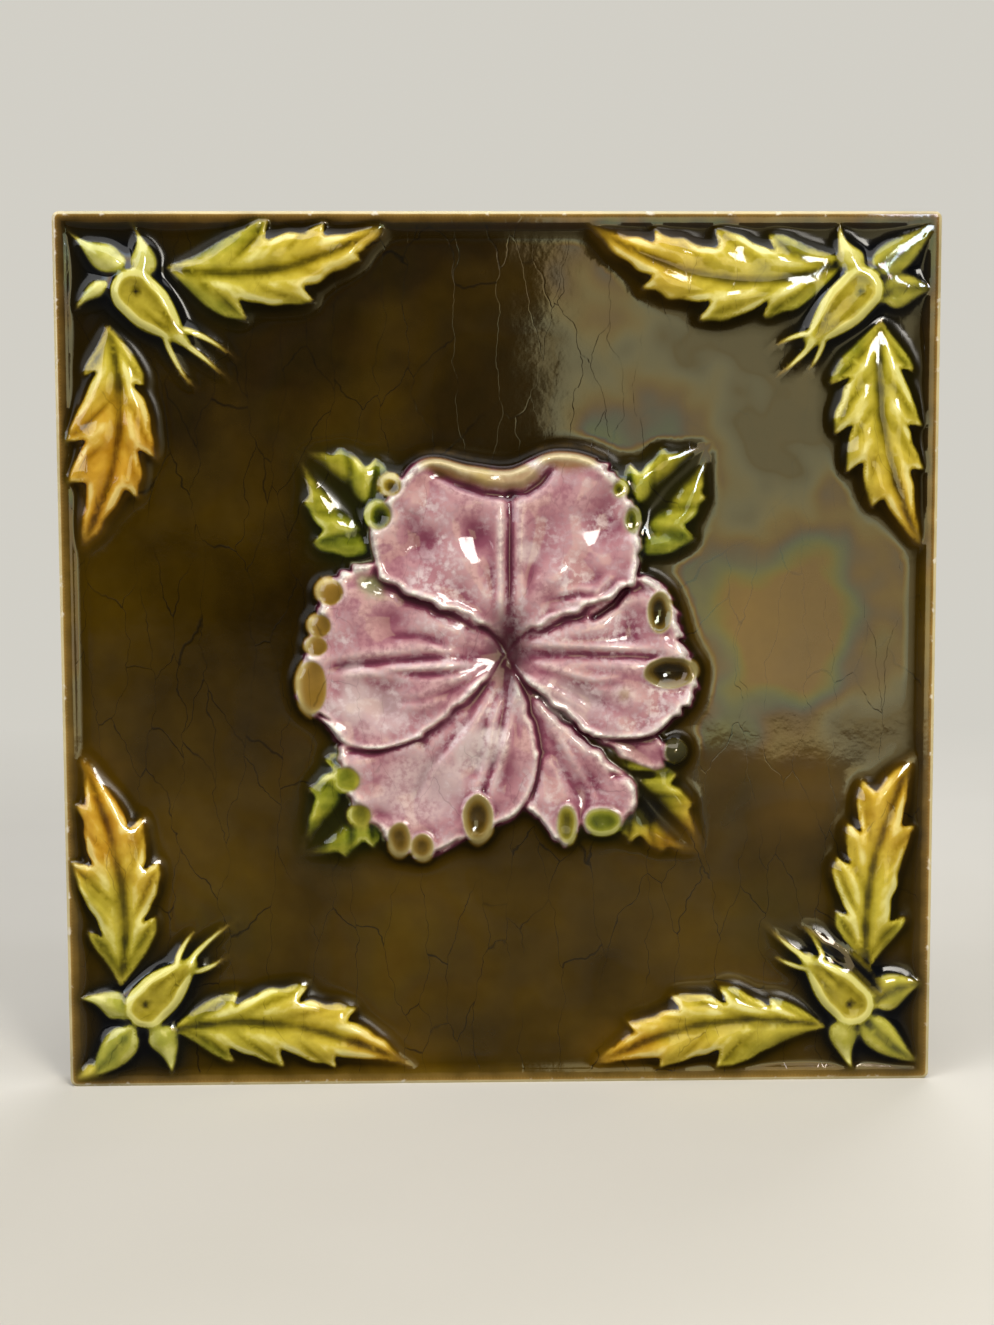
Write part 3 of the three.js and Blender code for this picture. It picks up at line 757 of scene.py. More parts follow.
FOLDS = (
    Fold(((-14, 33.6), (-11, 31.6), (-7, 29.5), (-3, 28.2), (0.5, 27.6), (4.5, 28.1), (7, 29.8),
          (10.5, 34.4)), 1.0, 0.95, 0.5, 2.2),
    Fold(((-21, 33), (-14, 31), (-9, 27.8), (-3, 26.4)), 0.22, 1.2),
    Fold(((15, 6.0), (17.4, 7.2), (19.8, 8.8), (22.6, 12.6)), 1.3, 0.6, 0.4, 1.1),
    Fold(((9, 9.4), (13.5, 10.6), (17, 10.2), (20.5, 13.6)), 0.4, 0.7, 0.3, 1.0),
    Fold(((4, 3.2), (8, 7.4), (12, 8.4), (15, 8.8)), 0.35, 0.6, 0.2, 0.9),
    Fold(((-3, 1.2), (-9, 1.6), (-14, 3.6), (-20, 3.4)), 0.25, 0.7, 0.2, 1.2),
    Fold(((-3, -1.6), (-8, -2.8), (-13, -3.2), (-24, -2.2)), 0.3, 0.6, 0.25, 1.0),
    Fold(((-3, -3), (-9, -6.2), (-14, -7.6), (-19, -7.8)), 0.25, 0.7, 0.15, 1.2),
    Fold(((5, -2), (10, -3.6), (15, -5.2), (22, -5)), 0.28, 0.7, 0.2, 1.2),
    Fold(((0, -5), (-2.5, -11), (-3.4, -17), (-4.4, -23)), 0.3, 0.8, 0.22, 1.2),
    Fold(((-2, -6), (-8, -14), (-13, -20), (-16, -27)), 0.2, 0.9, 0.2, 1.3),
    Fold(((8, -13), (12, -19), (15, -24), (16, -27)), 0.3, 0.6, 0.2, 1.0),
    Fold(((18.5, -20.6), (21, -21.2), (24, -21), (27.5, -21)), 0.9, 0.6, 0.3, 0.9),
)
SWELLS = (
    Swell((18.0, 23.5), 4.2, -1.5),
    Swell((-4.0, 21.0), 3.0, -0.9),
    Swell((-13.5, 20.0), 4.2, -1.1),
    Swell((9.0, 13.0), 3.2, 0.6),
    Swell((22.3, 4.4), 3.2, -1.2),
    Swell((15.0, -8.0), 3.6, -0.9),
    Swell((0.6, -15.8), 3.0, 0.8),
    Swell((-13.0, -24.0), 4.2, -1.0),
    Swell((-5.0, -19.0), 2.8, -0.5),
    Swell((-18.5, 6.5), 3.6, -1.1),
    Swell((-20.0, -9.0), 3.6, -1.0),
    Swell((-9.0, -1.0), 2.6, 0.5),
    Swell((15.5, -22.5), 3.0, -0.8),
)
STAINS = (
    Stain((-22.6, 12.2), (3.4, 1.6), Zone.GREEN, 0.8, -40),
    Stain((21.5, -6.8), (2.6, 2.2), Zone.PALE, 0.6),
    Stain((21.5, -6.8), (1.1, 1.1), Zone.OCHRE, 0.5),
    Stain((-7.5, 32.5), (8.0, 2.6), Zone.OCHRE, 0.8, -14),
    Stain((12.0, 34.2), (6.5, 2.3), Zone.OCHRE, 0.75, 0),
    Stain((1.5, 30.9), (6.5, 2.5), Zone.OCHRE, 0.75, 4),
    Stain((25.4, -27.8), (3.6, 2.4), Zone.DARK, 0.95, 20),
    Stain((25.4, -27.8), (3.6, 2.4), Zone.HUB, 1.0, 20),
    Stain((28.0, 20.5), (2.0, 5.0), Zone.HUB, 0.8, 15),
    Stain((52.0, -25.0), (9.0, 8.0), Zone.AMBER, 0.7, 30),
    Stain((21.0, -70.0), (9.0, 5.0), Zone.AMBER, 0.6, 10),
    Stain((-19.0, -70.0), (9.0, 5.0), Zone.AMBER, 0.4, -10),
    Stain((-70.0, -21.0), (6.0, 8.0), Zone.AMBER, 0.4, 0),
    Stain((47.0, -47.0), (10.0, 8.0), Zone.GREEN, 0.35, 45),
    Stain((-47.0, -47.0), (10.0, 7.0), Zone.GREEN, 0.35, -45),
    Stain((-14.0, -23.0), (9.0, 7.0), Zone.PALE, 0.55, 20),
    Stain((-23.0, -9.5), (8.0, 5.0), Zone.PALE, 0.45, 0),
    Stain((12.0, -8.0), (7.0, 3.6), Zone.PALE, 0.4, -20),
    Stain((-56.2, 64.6), (2.6, 1.1), Zone.PALE, 0.9, 120),
    Stain((-65.0, 56.4), (2.6, 1.1), Zone.PALE, 0.9, -50),
    Stain((-4, -16.5), (6.5, 3.4), Zone.PALE, 0.9, 35),
    Stain((5.0, 18.0), (2.2, 2.0), Zone.PALE, 0.6),
    Stain((-25.5, -6.0), (2.5, 6.0), Zone.PALE, 0.45),
)
PITS = (
    Scallop((-20.9, 24.3), (2.2, 2.4), 0.9, rise=2.5, dark=0.25),
    Scallop((-18.7, 29.5), (1.8, 1.8), 0.2, 0.6, 0.2),
    Scallop((22.8, 23.4), (1.3, 2.3), 0.9, dark=0.6),
    Scallop((20.6, 28.7), (1.2, 1.5), 0.7, dark=0.3),
    Scallop((27.6, 7.5), (2.1, 3.6), 0.2, 0.9, 0.55, 3.1, 1.8),
    Scallop((29.4, -3), (4.6, 2.7), 0.2, 0.9, 0.65, 3.1, 2.1),
    Scallop((-29.4, 11.2), (2.3, 2.2), 0.0, 1.0, 0.0, 2.4, 0.1),
    Scallop((-31.2, 5.3), (2.0, 1.9), 0.0, 1.0, 0.0, 2.3, 0.1),
    Scallop((-31.8, 1.8), (1.9, 1.7), 0.0, 1.0, 0.05, 2.2, 0.1),
    Scallop((-32.7, -5.3), (2.6, 4.6), 0.0, 1.0, 0.0, 2.4, 0.25),
    Scallop((-26.8, -21.5), (2.3, 2.3), 0.95, 0.0, 0.1, 2.2, 0.3),
    Scallop((-24.6, -27.8), (2.0, 2.0), 0.8, 0.2, 0.1, 2.0, 0.3),
    Scallop((-17.7, -32), (2.0, 3.0), 0.1, 0.9, 0.35, 2.5),
    Scallop((-13.7, -33.4), (2.0, 2.4), 0.1, 0.9, 0.3, 2.5),
    Scallop((-4, -28.4), (2.6, 4.3), 0.1, 0.9, 0.4, 2.8, 1.5),
    Scallop((11.6, -29.6), (1.8, 3.4), 0.6, 0.2, 0.35, 2.3, 0.8),
    Scallop((17.8, -29.2), (3.3, 2.4), 1.0, 0.0, 0.2, 2.2, 0.6),
    Scallop((30.4, -16.9), (1.9, 1.9), 0.2, 0.0, 1.0, 2.6, -0.5),
)


@dataclass
class Skin:
    """Triangles over the face's grid: small where the relief or its glaze changes, large on the flat.

    Right triangles are halved again and again until each stands within the allowed error.
    """

    face: PressedFace
    triangle_limit: int = 188_000
    error_range: Pair = (0.002, 0.08)
    tries: int = 7

    def own_error(self, values: np.ndarray, half: int, weight: float) -> tuple[np.ndarray, np.ndarray]:
        """How far a straight edge misses its middle, for the edges of one size.

        Args:
            values: the grid.
            half: half the edge's length in cells.
            weight: how much one unit of this grid counts, in mm.

        Returns:
            The misses at the middles of upright and level edges, and at the middles of slanted ones.
        """
        full = 2 * half
        straight = np.zeros_like(values)
        level = (values[::full, :-full:full] + values[::full, full::full]) / 2
        level = abs(level - values[::full, half::full])
        upright = (values[:-full:full, ::full] + values[full::full, ::full]) / 2
        upright = abs(upright - values[half::full, ::full])
        straight[::full, half::full] = level * weight
        straight[half::full, ::full] = upright * weight
        slanted = np.zeros_like(values)
        middle = values[half::full, half::full]
        rise = (values[:-full:full, :-full:full] + values[full::full, full::full]) / 2
        sink = (values[:-full:full, full::full] + values[full::full, :-full:full]) / 2
        i, j = np.indices(middle.shape)
        slanted[half::full, half::full] = abs(np.where((i + j) % 2 == 0, rise, sink) - middle) * weight
        return straight, slanted

    def errors(self) -> np.ndarray:
        """The error of the triangles that each grid point would split, with that of all below them."""
        face = self.face
        flower = np.where(face.layers[Zone.PETAL] > 0.05, 1.0, 0.35)
        grids = [(face.height, 1.0), (face.depth * flower, 0.22), (face.relief_shade, 0.06), (face.pool, 0.06)]
        grids += [(face.tint, 0.06)]
        grids += [(face.layers[zone], 0.09) for zone in (Zone.PETAL, Zone.LEAF)]
        grids += [(face.layers[zone], 0.05) for zone in (Zone.GREEN, Zone.AMBER, Zone.OCHRE, Zone.DARK)]
        corner = np.hypot(HALF_MM - abs(face.x), HALF_MM - abs(face.z)) < 2.4
        near_edge = corner & (face.edge < 0.3)
        total = np.where(near_edge, 1.0, 0.0)
        size = face.cells
        half = 1
        while half < size:
            full = 2 * half
            straight = np.zeros_like(total)
            slanted = np.zeros_like(total)
            for values, weight in grids:
                one, two = self.own_error(values, half, weight)
                straight = np.maximum(straight, one)
                slanted = np.maximum(slanted, two)
            total = np.maximum(total, straight)
            if half > 1:
                self.gather(total, half)
            total = np.maximum(total, slanted)
            centre = total[half::full, half::full]
            for near in (slice(None, -full, full), slice(full, None, full)):
                centre = np.maximum(centre, total[half::full, near])
                centre = np.maximum(centre, total[near, half::full])
            total[half::full, half::full] = centre
            half = full
        return total

    def gather(self, total: np.ndarray, half: int) -> None:
        """Gives the middles of straight edges the largest error of the smaller squares beside them.

        Args:
            total: the errors so far, which are changed.
            half: half the edge's length in cells.
        """
        full, quarter = 2 * half, half // 2
        padded = np.pad(total, quarter)
        for row, column in ((0, half), (half, 0)):
            middle = total[row::full, column::full]
            rows, columns = np.indices(middle.shape)
            for di in (-quarter, quarter):
                for dj in (-quarter, quarter):
                    near = padded[quarter + di + row + rows * full, quarter + dj + column + columns * full]
                    middle = np.maximum(middle, near)
            total[row::full, column::full] = middle

    def split(self, errors: np.ndarray, allowed: float) -> np.ndarray:
        """Halves the two triangles of the square until each stands within the allowed error.

        Args:
            errors: the result of errors().
            allowed: the largest error, in mm.

        Returns:
            The triangles, each as three grid points (row, column), right angle last.
        """
        n = self.face.cells
        open_ones = np.array([[[0, 0], [n, n], [n, 0]], [[n, n], [0, 0], [0, n]]])
        done = []
        while len(open_ones):
            a, b, c = open_ones[:, 0], open_ones[:, 1], open_ones[:, 2]
            middle = (a + b) // 2
            small = abs(a - c).sum(1) <= 1
            wrong = errors[middle[:, 0], middle[:, 1]] > allowed
            cut = wrong & ~small
            done.append(open_ones[~cut])
            left = np.stack([c, a, middle], 1)[cut]
            right = np.stack([b, c, middle], 1)[cut]
            open_ones = np.concatenate([left, right])
        return np.concatenate(done)

    def triangles(self) -> np.ndarray:
        """The finest triangles that stay under the limit on their number."""
        errors = self.errors()
        low, high = self.error_range
        for _ in range(self.tries):
            allowed = math.sqrt(low * high)
            if len(self.split(errors, allowed)) > self.triangle_limit:
                low = allowed
            else:
                high = allowed
        LOG.info("face within %.4f mm", high)
        return self.split(errors, high)


def linear(code: str) -> tuple[float, float, float, float]:
    """Turns an sRGB hex colour to the linear one that the shaders take."""
    parts = [int(code[i : i + 2], 16) / 255 for i in (1, 3, 5)]
    return tuple(p / 12.92 if p <= 0.04045 else ((p + 0.055) / 1.055) ** 2.4 for p in parts) + (1.0,)


def add(tree: Tree, kind: str, settings: dict | None = None, links: dict | None = None) -> bpy.types.Node:
    """Adds a node with its settings and links.

    Args:
        tree: the node tree.
        kind: the node's type name.
        settings: attributes by name, and values of inputs by name or number.
        links: the socket that feeds each input, by name or number.

    Returns:
        The node.
    """
    node = tree.nodes.new(kind)
    for name, value in (settings or {}).items():
        if isinstance(name, str) and hasattr(node, name):
            setattr(node, name, value)
        else:
            node.inputs[name].default_value = value
    for name, socket in (links or {}).items():
        tree.links.new(socket, node.inputs[name])
    return node


def ramp(tree: Tree, factor: Socket, stops: tuple[tuple[float, str], ...]) -> Socket:
    """Runs a factor through colour stops.

    Args:
        tree: the node tree.
        factor: the socket that gives the place on the ramp.
        stops: pairs of place and hex colour, in order.

    Returns:
        The colour socket.
    """
    node = add(tree, "ShaderNodeValToRGB", links={0: factor})
    elements = node.color_ramp.elements
    for place, code in stops[1:-1]:
        elements.new(place).color = linear(code)
    for element, (place, code) in ((elements[0], stops[0]), (elements[-1], stops[-1])):
        element.position = place
        element.color = linear(code)
    return node.outputs["Color"]


def feed(tree: Tree, entry: Socket, value: Socket | float | tuple) -> None:
    """Links an input to a socket, or sets it to a plain value."""
    if isinstance(value, Socket):
        tree.links.new(value, entry)
    else:
        entry.default_value = value


def mixed(tree: Tree, factor: Socket | float, one: Socket | tuple, two: Socket | tuple) -> Socket:
    """Mixes two colours by a factor. Each of the three is a socket or a plain value."""
    node = add(tree, "ShaderNodeMix", {"data_type": "RGBA"})
    for place, value in ((0, factor), (6, one), (7, two)):
        feed(tree, node.inputs[place], value)
    return node.outputs[2]


def noise(tree: Tree, place: Socket, size_mm: float, detail: float) -> Socket:
    """Cloudy noise with waves of a size in mm."""
    settings = {"Scale": 1 / (size_mm * MM), "Detail": detail}
    return add(tree, "ShaderNodeTexNoise", settings, {"Vector": place}).outputs["Fac"]


def maths(tree: Tree, operation: str, *values: Socket | float) -> Socket:
    """One sum on sockets or plain numbers, held between 0 and 1 where it says so by a leading plus."""
    node = add(tree, "ShaderNodeMath", {"operation": operation.lstrip("+"), "use_clamp": operation[0] == "+"})
    for entry, value in zip(node.inputs, values):
        feed(tree, entry, value)
    return node.outputs[0]


def rising(tree: Tree, value: Socket, low: float, high: float) -> Socket:
    """Runs straight from 0 where the value is low to 1 where it is high. Low may be the larger of the two."""
    return maths(tree, "+MULTIPLY_ADD", value, 1 / (high - low), -low / (high - low))


def product(tree: Tree, one: Socket | float, two: Socket | float) -> Socket:
    """One value times another."""
    return maths(tree, "MULTIPLY", one, two)


def clear_material(name: str) -> tuple[bpy.types.Material, Tree]:
    """A new material with an empty node tree."""
    material = bpy.data.materials.new(name)
    material.use_nodes = True
    material.node_tree.nodes.clear()
    return material, material.node_tree


class Studio(Enum):
    """The soft panels: name, centre in metres, size in metres, strength in watts, and colour."""

    KEY = ("key_panel", (0.42, -0.95, 0.42), (0.24, 0.36), 6.4, "#fffaf0")
    SHEEN = ("sheen_panel", (0.105, -0.42, 0.035), (0.155, 0.21), 0.23, "#fff0b4")
    TOP = ("top_panel", (0.0, -0.45, 1.0), (1.5, 0.8), 9.6, "#ffffff")
    LEFT = ("left_panel", (-0.85, -0.70, 0.45), (0.7, 0.8), 4.6, "#ffffff")
    BACK = ("back_panel", (0.30, 0.90, 0.60), (0.80, 0.60), 5.5, "#ffffff")


@dataclass(frozen=True)
class MajolicaGlaze:
    """Majolica: translucent lead glazes in several colours, run over pressed clay and fired.

    The glaze is thin and pale on the ridges and pools dark in the hollows, and its colour also holds painted
    shade in the creases and round the relief and painted shadow round the buds. Its skin is glassy, with a
    slight waviness, and has cracked into a fine net of dark lines.
    """

    name: str = "majolica_glaze"
    crack_width_mm: float = 6.5
    crack_height_mm: float = 24.0
    peel_mm: float = 1.6
    wave_mm: float = 11.0
    film_nm: float = 300.0
    chip_mm: float = 1.6
    throat_width_mm: float = 3.6
    throat_height_mm: float = 7.5

    def make(self) -> bpy.types.Material:
        """Makes the material.

        Returns:
            The material.
        """
        material, tree = clear_material(self.name)
        place = add(tree, "ShaderNodeTexCoord").outputs["Object"]
        zones = {zone: self.layer(tree, zone.value) for zone in Zone}
        depth = self.layer(tree, "glaze_depth_and_shade")
        drift = noise(tree, place, 28.0, 3.0)
        mottle = noise(tree, place, 3.4, 4.0)
        shifted = maths(tree, "+ADD", depth, maths(tree, "MULTIPLY_ADD", mottle, 0.10, -0.05))
        back = add(tree, "ShaderNodeSeparateXYZ", links={0: place}).outputs["Y"]
        # height over the field in mm: low parts of the relief lie under more glaze and look deeper
        rise = maths(tree, "MULTIPLY_ADD", back, -1 / MM, -FIELD_HEIGHT_MM)
        uneven = maths(tree, "MULTIPLY_ADD", mottle, 0.26, 0.13)
        low = maths(tree, "MULTIPLY_ADD", rise, -0.19, uneven)
        colour = self.field_colour(tree, shifted, drift, mottle, place)
        # the leaves darken with the glaze depth mark, which holds pooled glaze and painted shade in their
        # creases and at their foot
        pooled_and_shaded = maths(tree, "MULTIPLY_ADD", shifted, 1.65, -0.31)
        leaf = self.leaf_colour(tree, maths(tree, "+ADD", pooled_and_shaded, low), mottle, zones)
        colour = mixed(tree, zones[Zone.LEAF], colour, leaf)
        colour = mixed(tree, zones[Zone.PETAL], colour, self.petal_colour(tree, depth, zones, place))
        # ochre darkens the same way, with pooled glaze and painted shade in the hollows
        ochre = ramp(tree, shifted, ((0.1, "#cdb878"), (0.35, "#a58a4c"), (0.5, "#8d6c2a"), (0.7, "#5a430f"),
                                     (0.95, "#1c1404")))
        colour = mixed(tree, zones[Zone.OCHRE], colour, ochre)
        colour = mixed(tree, product(tree, zones[Zone.DARK], 0.95), colour, linear("#12100a"))
        # the crazing shows less on the pale leaves and petals, and not on the thin glaze of the rim
        lines = self.cracks(tree, place)
        plain = maths(tree, "SUBTRACT", 0.8, product(tree, zones[Zone.LEAF], 0.4))
        shown = maths(tree, "+SUBTRACT", plain, product(tree, zones[Zone.PETAL], 0.55))
        off_rim = rising(tree, depth, 0.43, 0.48)
        shown = product(tree, shown, off_rim)
        colour = mixed(tree, product(tree, lines, shown), colour, linear("#0c0803"))
        skin = self.skin(tree, place, lines)
        # the crowded glaze round the relief's foot is a little softer
        foot = rising(tree, depth, 0.53, 0.63)
        foot = product(tree, foot, rising(tree, rise, 1.2308, 0.4615))
        off_pool_and_shadow = rising(tree, self.layer(tree, "glaze_pool_and_shadow"), 1.1111, 0.0)
        foot = product(tree, foot, off_pool_and_shadow)
        soft = maths(tree, "MULTIPLY_ADD", foot, 0.16, 0.05)
        roughness = maths(tree, "MULTIPLY_ADD", mottle, 0.06, soft)
        # a patchy lustre, which old lead glaze shows where light strikes it flat
        film = rising(tree, noise(tree, place, 34.0, 3.0), 0.4, 0.65)
        off_petal = maths(tree, "MULTIPLY_ADD", zones[Zone.PETAL], -self.film_nm, self.film_nm)
        film = product(tree, film, off_petal)
        # the foot of the relief faces the dark relief beside it, so it mirrors little and has no lustre
        hidden = rising(tree, depth, 0.5125, 0.5958)
        hidden = product(tree, hidden, rising(tree, rise, 1.8, 0.8))
        hidden = product(tree, hidden, maths(tree, "MULTIPLY_ADD", zones[Zone.PETAL], -1.0, 1.0))
        in_pool_and_shadow = rising(tree, self.layer(tree, "glaze_pool_and_shadow"), 2.0, 0.0)
        hidden = product(tree, hidden, in_pool_and_shadow)
        gloss = maths(tree, "MULTIPLY_ADD", hidden, -0.38, 0.5)
        film = product(tree, film, rising(tree, hidden, 0.4545, 0.0))
        shader = add(tree, "ShaderNodeBsdfPrincipled", {"IOR": 1.52, "Thin Film IOR": 1.58},
                     {"Base Color": colour, "Roughness": roughness, "Normal": skin,
                      "Thin Film Thickness": film, "Specular IOR Level": gloss})
        add(tree, "ShaderNodeOutputMaterial", links={"Surface": shader.outputs[0]})
        return material

    def layer(self, tree: Tree, name: str) -> Socket:
        """The socket of one attribute of the mesh."""
        return add(tree, "ShaderNodeAttribute", {"attribute_name": name}).outputs["Fac"]

    def field_colour(self, tree: Tree, depth: Socket, drift: Socket, mottle: Socket, place: Socket) -> Socket:
        """The brown field: lighter low down, green beside leaves, darker in the hollows with pooled glaze and
        painted shade, with painted shade round the relief, and near black round the buds with pooled glaze
        and painted shadow.
        """
        dark = ramp(tree, depth, ((0.02, "#e0cf9c"), (0.2, "#9a7638"), (0.42, "#2f2106"), (0.52, "#211600"),
                                  (0.8, "#171001")))
        light = ramp(tree, depth, ((0.02, "#e6d6a6"), (0.2, "#aa8844"), (0.42, "#5e480c"), (0.52, "#4e3900"),
                                   (0.8, "#281d02")))
        up = add(tree, "ShaderNodeSeparateXYZ", links={0: place}).outputs["Z"]
        lower = maths(tree, "MULTIPLY_ADD", up, -6.5, -0.75)
        even = mixed(tree, maths(tree, "+MULTIPLY_ADD", drift, 2.2, lower), dark, light)
        green_run = product(tree, self.layer(tree, "glaze_tint"), 0.75)
        greened = mixed(tree, green_run, even, linear("#1e2309"))
        amber_run = product(tree, self.layer(tree, Zone.AMBER.value), 0.5)
        greened = mixed(tree, amber_run, greened, linear("#6a4c0c"))
        # painted shade on the field round the relief, broken up by the mottle
        relief_shade = maths(tree, "+MULTIPLY", self.layer(tree, "glaze_relief_shade"), maths(tree, "SUBTRACT", mottle, 0.15))
        chipped = rising(tree, noise(tree, place, self.chip_mm, 2.0), 0.6111, 0.7222)
        at_arris = rising(tree, depth, 0.3, 0.175)
        greened = mixed(tree, product(tree, chipped, at_arris), greened, linear("#efe6d2"))
        shaded = mixed(tree, relief_shade, greened, linear("#150f04"))
        # near black round the buds: pooled dark glaze with painted shadow
        return mixed(tree, self.layer(tree, "glaze_pool_and_shadow"), shaded, linear("#07080b"))

    def leaf_colour(self, tree: Tree, depth: Socket, mottle: Socket, zones: dict[Zone, Socket]) -> Socket:
        """Leaves and buds: straw yellow on the ridges, green by the stem and amber at the tip, each darkening
        to near black with pooled glaze and painted shade in the hollows.
        """
        straw = ramp(tree, depth, ((0.06, "#f2e795"), (0.24, "#d3bd45"), (0.48, "#a38f1f"), (0.68, "#63550d"),
                                   (0.85, "#2b2405"), (1.0, "#100d03")))
        green = ramp(tree, depth, ((0.08, "#dcdc80"), (0.24, "#a5a636"), (0.48, "#6f7617"), (0.68, "#363f08"),
                                   (0.85, "#151a05"), (1.0, "#080a03")))
        amber = ramp(tree, depth, ((0.08, "#f0d27a"), (0.24, "#d2a032"), (0.48, "#ad7a15"), (0.68, "#6e4708"),
                                   (0.85, "#301d05"), (1.0, "#120a02")))
        greener = maths(tree, "+MULTIPLY", zones[Zone.GREEN], maths(tree, "ADD", 0.6, mottle))
        colour = mixed(tree, greener, straw, green)
        riper = maths(tree, "+MULTIPLY", zones[Zone.AMBER], maths(tree, "ADD", 0.5, mottle))
        colour = mixed(tree, riper, colour, amber)
        return mixed(tree, product(tree, zones[Zone.PALE], 0.6), colour, linear("#d9cf98"))

    def petal_colour(self, tree: Tree, depth: Socket, zones: dict[Zone, Socket], place: Socket) -> Socket:
        """Petals: cloudy mauve pink, cream along the raised edges and wine red in the folds, where pooled
        glaze and painted shade darken it.
        """
        # pooled glaze and painted shade in the folds darken the pink towards wine red
        folded = rising(tree, depth, 0.1296, 0.8704)
        pink = ramp(tree, folded, ((0.14, "#f6efe6"), (0.31, "#e4c9c4"), (0.43, "#cba1a4"), (0.52, "#b37f88"),
                                  (0.63, "#834659"), (0.8, "#5f2b3e"), (1.0, "#401725")))
        level = rising(tree, depth, 0.7167, 0.55)
        grain = rising(tree, noise(tree, place, 1.1, 6.0), 0.42, 0.62)
        patches = rising(tree, noise(tree, place, 7.0, 5.0), 0.42, 0.62)
        grained = product(tree, product(tree, grain, level), 0.55)
        dusky = mixed(tree, grained, pink, linear("#8f5567"))
        flecked = product(tree, product(tree, patches, grain), level)
        flecked = product(tree, flecked, 0.75)
        whiter = mixed(tree, flecked, dusky, linear("#e6d4d6"))
        clouded = product(tree, zones[Zone.PALE], rising(tree, grain, 1.9, -0.1))
        edged = mixed(tree, clouded, whiter, linear("#dccbc9"))
        olive = mixed(tree, zones[Zone.GREEN], edged, linear("#7f8458"))
        spot = (1 / (self.throat_width_mm * MM), 0, 1 / (self.throat_height_mm * MM))
        flat = add(tree, "ShaderNodeVectorMath", {"operation": "MULTIPLY", 1: spot}, {0: place}).outputs[0]
        throat = add(tree, "ShaderNodeVectorMath", {"operation": "DISTANCE", 1: (0.4, 0, 0.05)}, {0: flat})
        wine = rising(tree, throat.outputs["Value"], 1.4, 0.4)
        return mixed(tree, product(tree, wine, 0.92), olive, linear("#360f1a"))

    def cracks(self, tree: Tree, place: Socket) -> Socket:
        """The crazing: long upright cracks joined by short ones, drawn wider than life so that they show."""
        bend = add(tree, "ShaderNodeTexNoise", {"Scale": 1 / (8 * MM), "Detail": 3.0}, {"Vector": place})
        centred = add(tree, "ShaderNodeVectorMath", {"operation": "SUBTRACT", 1: (0.5, 0.5, 0.5)},
                      {0: bend.outputs["Color"]})
        moved = add(tree, "ShaderNodeVectorMath", {"operation": "MULTIPLY_ADD", 1: (6 * MM, 0, 8 * MM)},
                    {0: centred.outputs[0], 2: place})
        scale = (1 / (self.crack_width_mm * MM), 0.0, 1 / (self.crack_height_mm * MM))
        flat = add(tree, "ShaderNodeVectorMath", {"operation": "MULTIPLY", 1: scale}, {0: moved.outputs[0]})
        net = add(tree, "ShaderNodeTexVoronoi", {"feature": "DISTANCE_TO_EDGE", "Scale": 1.0},
                  {"Vector": flat.outputs[0]})
        near = rising(tree, net.outputs["Distance"], 0.009, 0.0)
        worn = rising(tree, noise(tree, place, 16.0, 1.0), 0.3, 0.5)
        return product(tree, near, worn)

    def skin(self, tree: Tree, place: Socket, lines: Socket) -> Socket:
        """The glassy surface: slow waves from the running glaze and a faint orange peel."""
        waves = add(tree, "ShaderNodeBump", {"Strength": 0.30, "Distance": 0.0004},
                    {"Height": noise(tree, place, self.wave_mm, 1.0)})
        peel = add(tree, "ShaderNodeBump", {"Strength": 0.12, "Distance": 0.0001},
                   {"Height": noise(tree, place, self.peel_mm, 2.0), "Normal": waves.outputs[0]})
        return add(tree, "ShaderNodeBump", {"Strength": 0.06, "Distance": 0.0001, "invert": True},
                   {"Height": lines, "Normal": peel.outputs[0]}).outputs[0]


@dataclass(frozen=True)
class BiscuitClay:
    """Pressed buff earthenware, fired once and left bare: matt, finely gritty, a little dusty and stained."""

    name: str = "biscuit_clay"
    grit_mm: float = 0.7
    cloud_mm: float = 18.0

    def make(self) -> bpy.types.Material:
        """Makes the material.

        Returns:
            The material.
        """
        material, tree = clear_material(self.name)
        place = add(tree, "ShaderNodeTexCoord").outputs["Object"]
        cloud = noise(tree, place, self.cloud_mm, 5.0)
        grit = noise(tree, place, self.grit_mm, 3.0)
        clay = ramp(tree, cloud, ((0.25, "#b79f7c"), (0.5, "#cdb893"), (0.75, "#d9c8a6")))
        specks = rising(tree, grit, 0.6143, 0.7571)
        colour = mixed(tree, product(tree, specks, 0.5), clay, linear("#8a6f4c"))
        depth = add(tree, "ShaderNodeSeparateXYZ", links={0: place}).outputs["Y"]
        run = product(tree, maths(tree, "SUBTRACT", cloud, 0.5), 0.006)
        glazed = rising(tree, maths(tree, "ADD", depth, run), -7.36 * MM, -8.16 * MM)
        colour = mixed(tree, glazed, colour, linear("#bfa264"))
        roughness = maths(tree, "SUBTRACT", 0.85, product(tree, glazed, 0.6))
        bump = add(tree, "ShaderNodeBump", {"Strength": 0.35, "Distance": 0.0002}, {"Height": grit})
        shader = add(tree, "ShaderNodeBsdfPrincipled", {"IOR": 1.45},
                     {"Base Color": colour, "Roughness": roughness, "Normal": bump.outputs[0]})
        add(tree, "ShaderNodeOutputMaterial", links={"Surface": shader.outputs[0]})
        return material


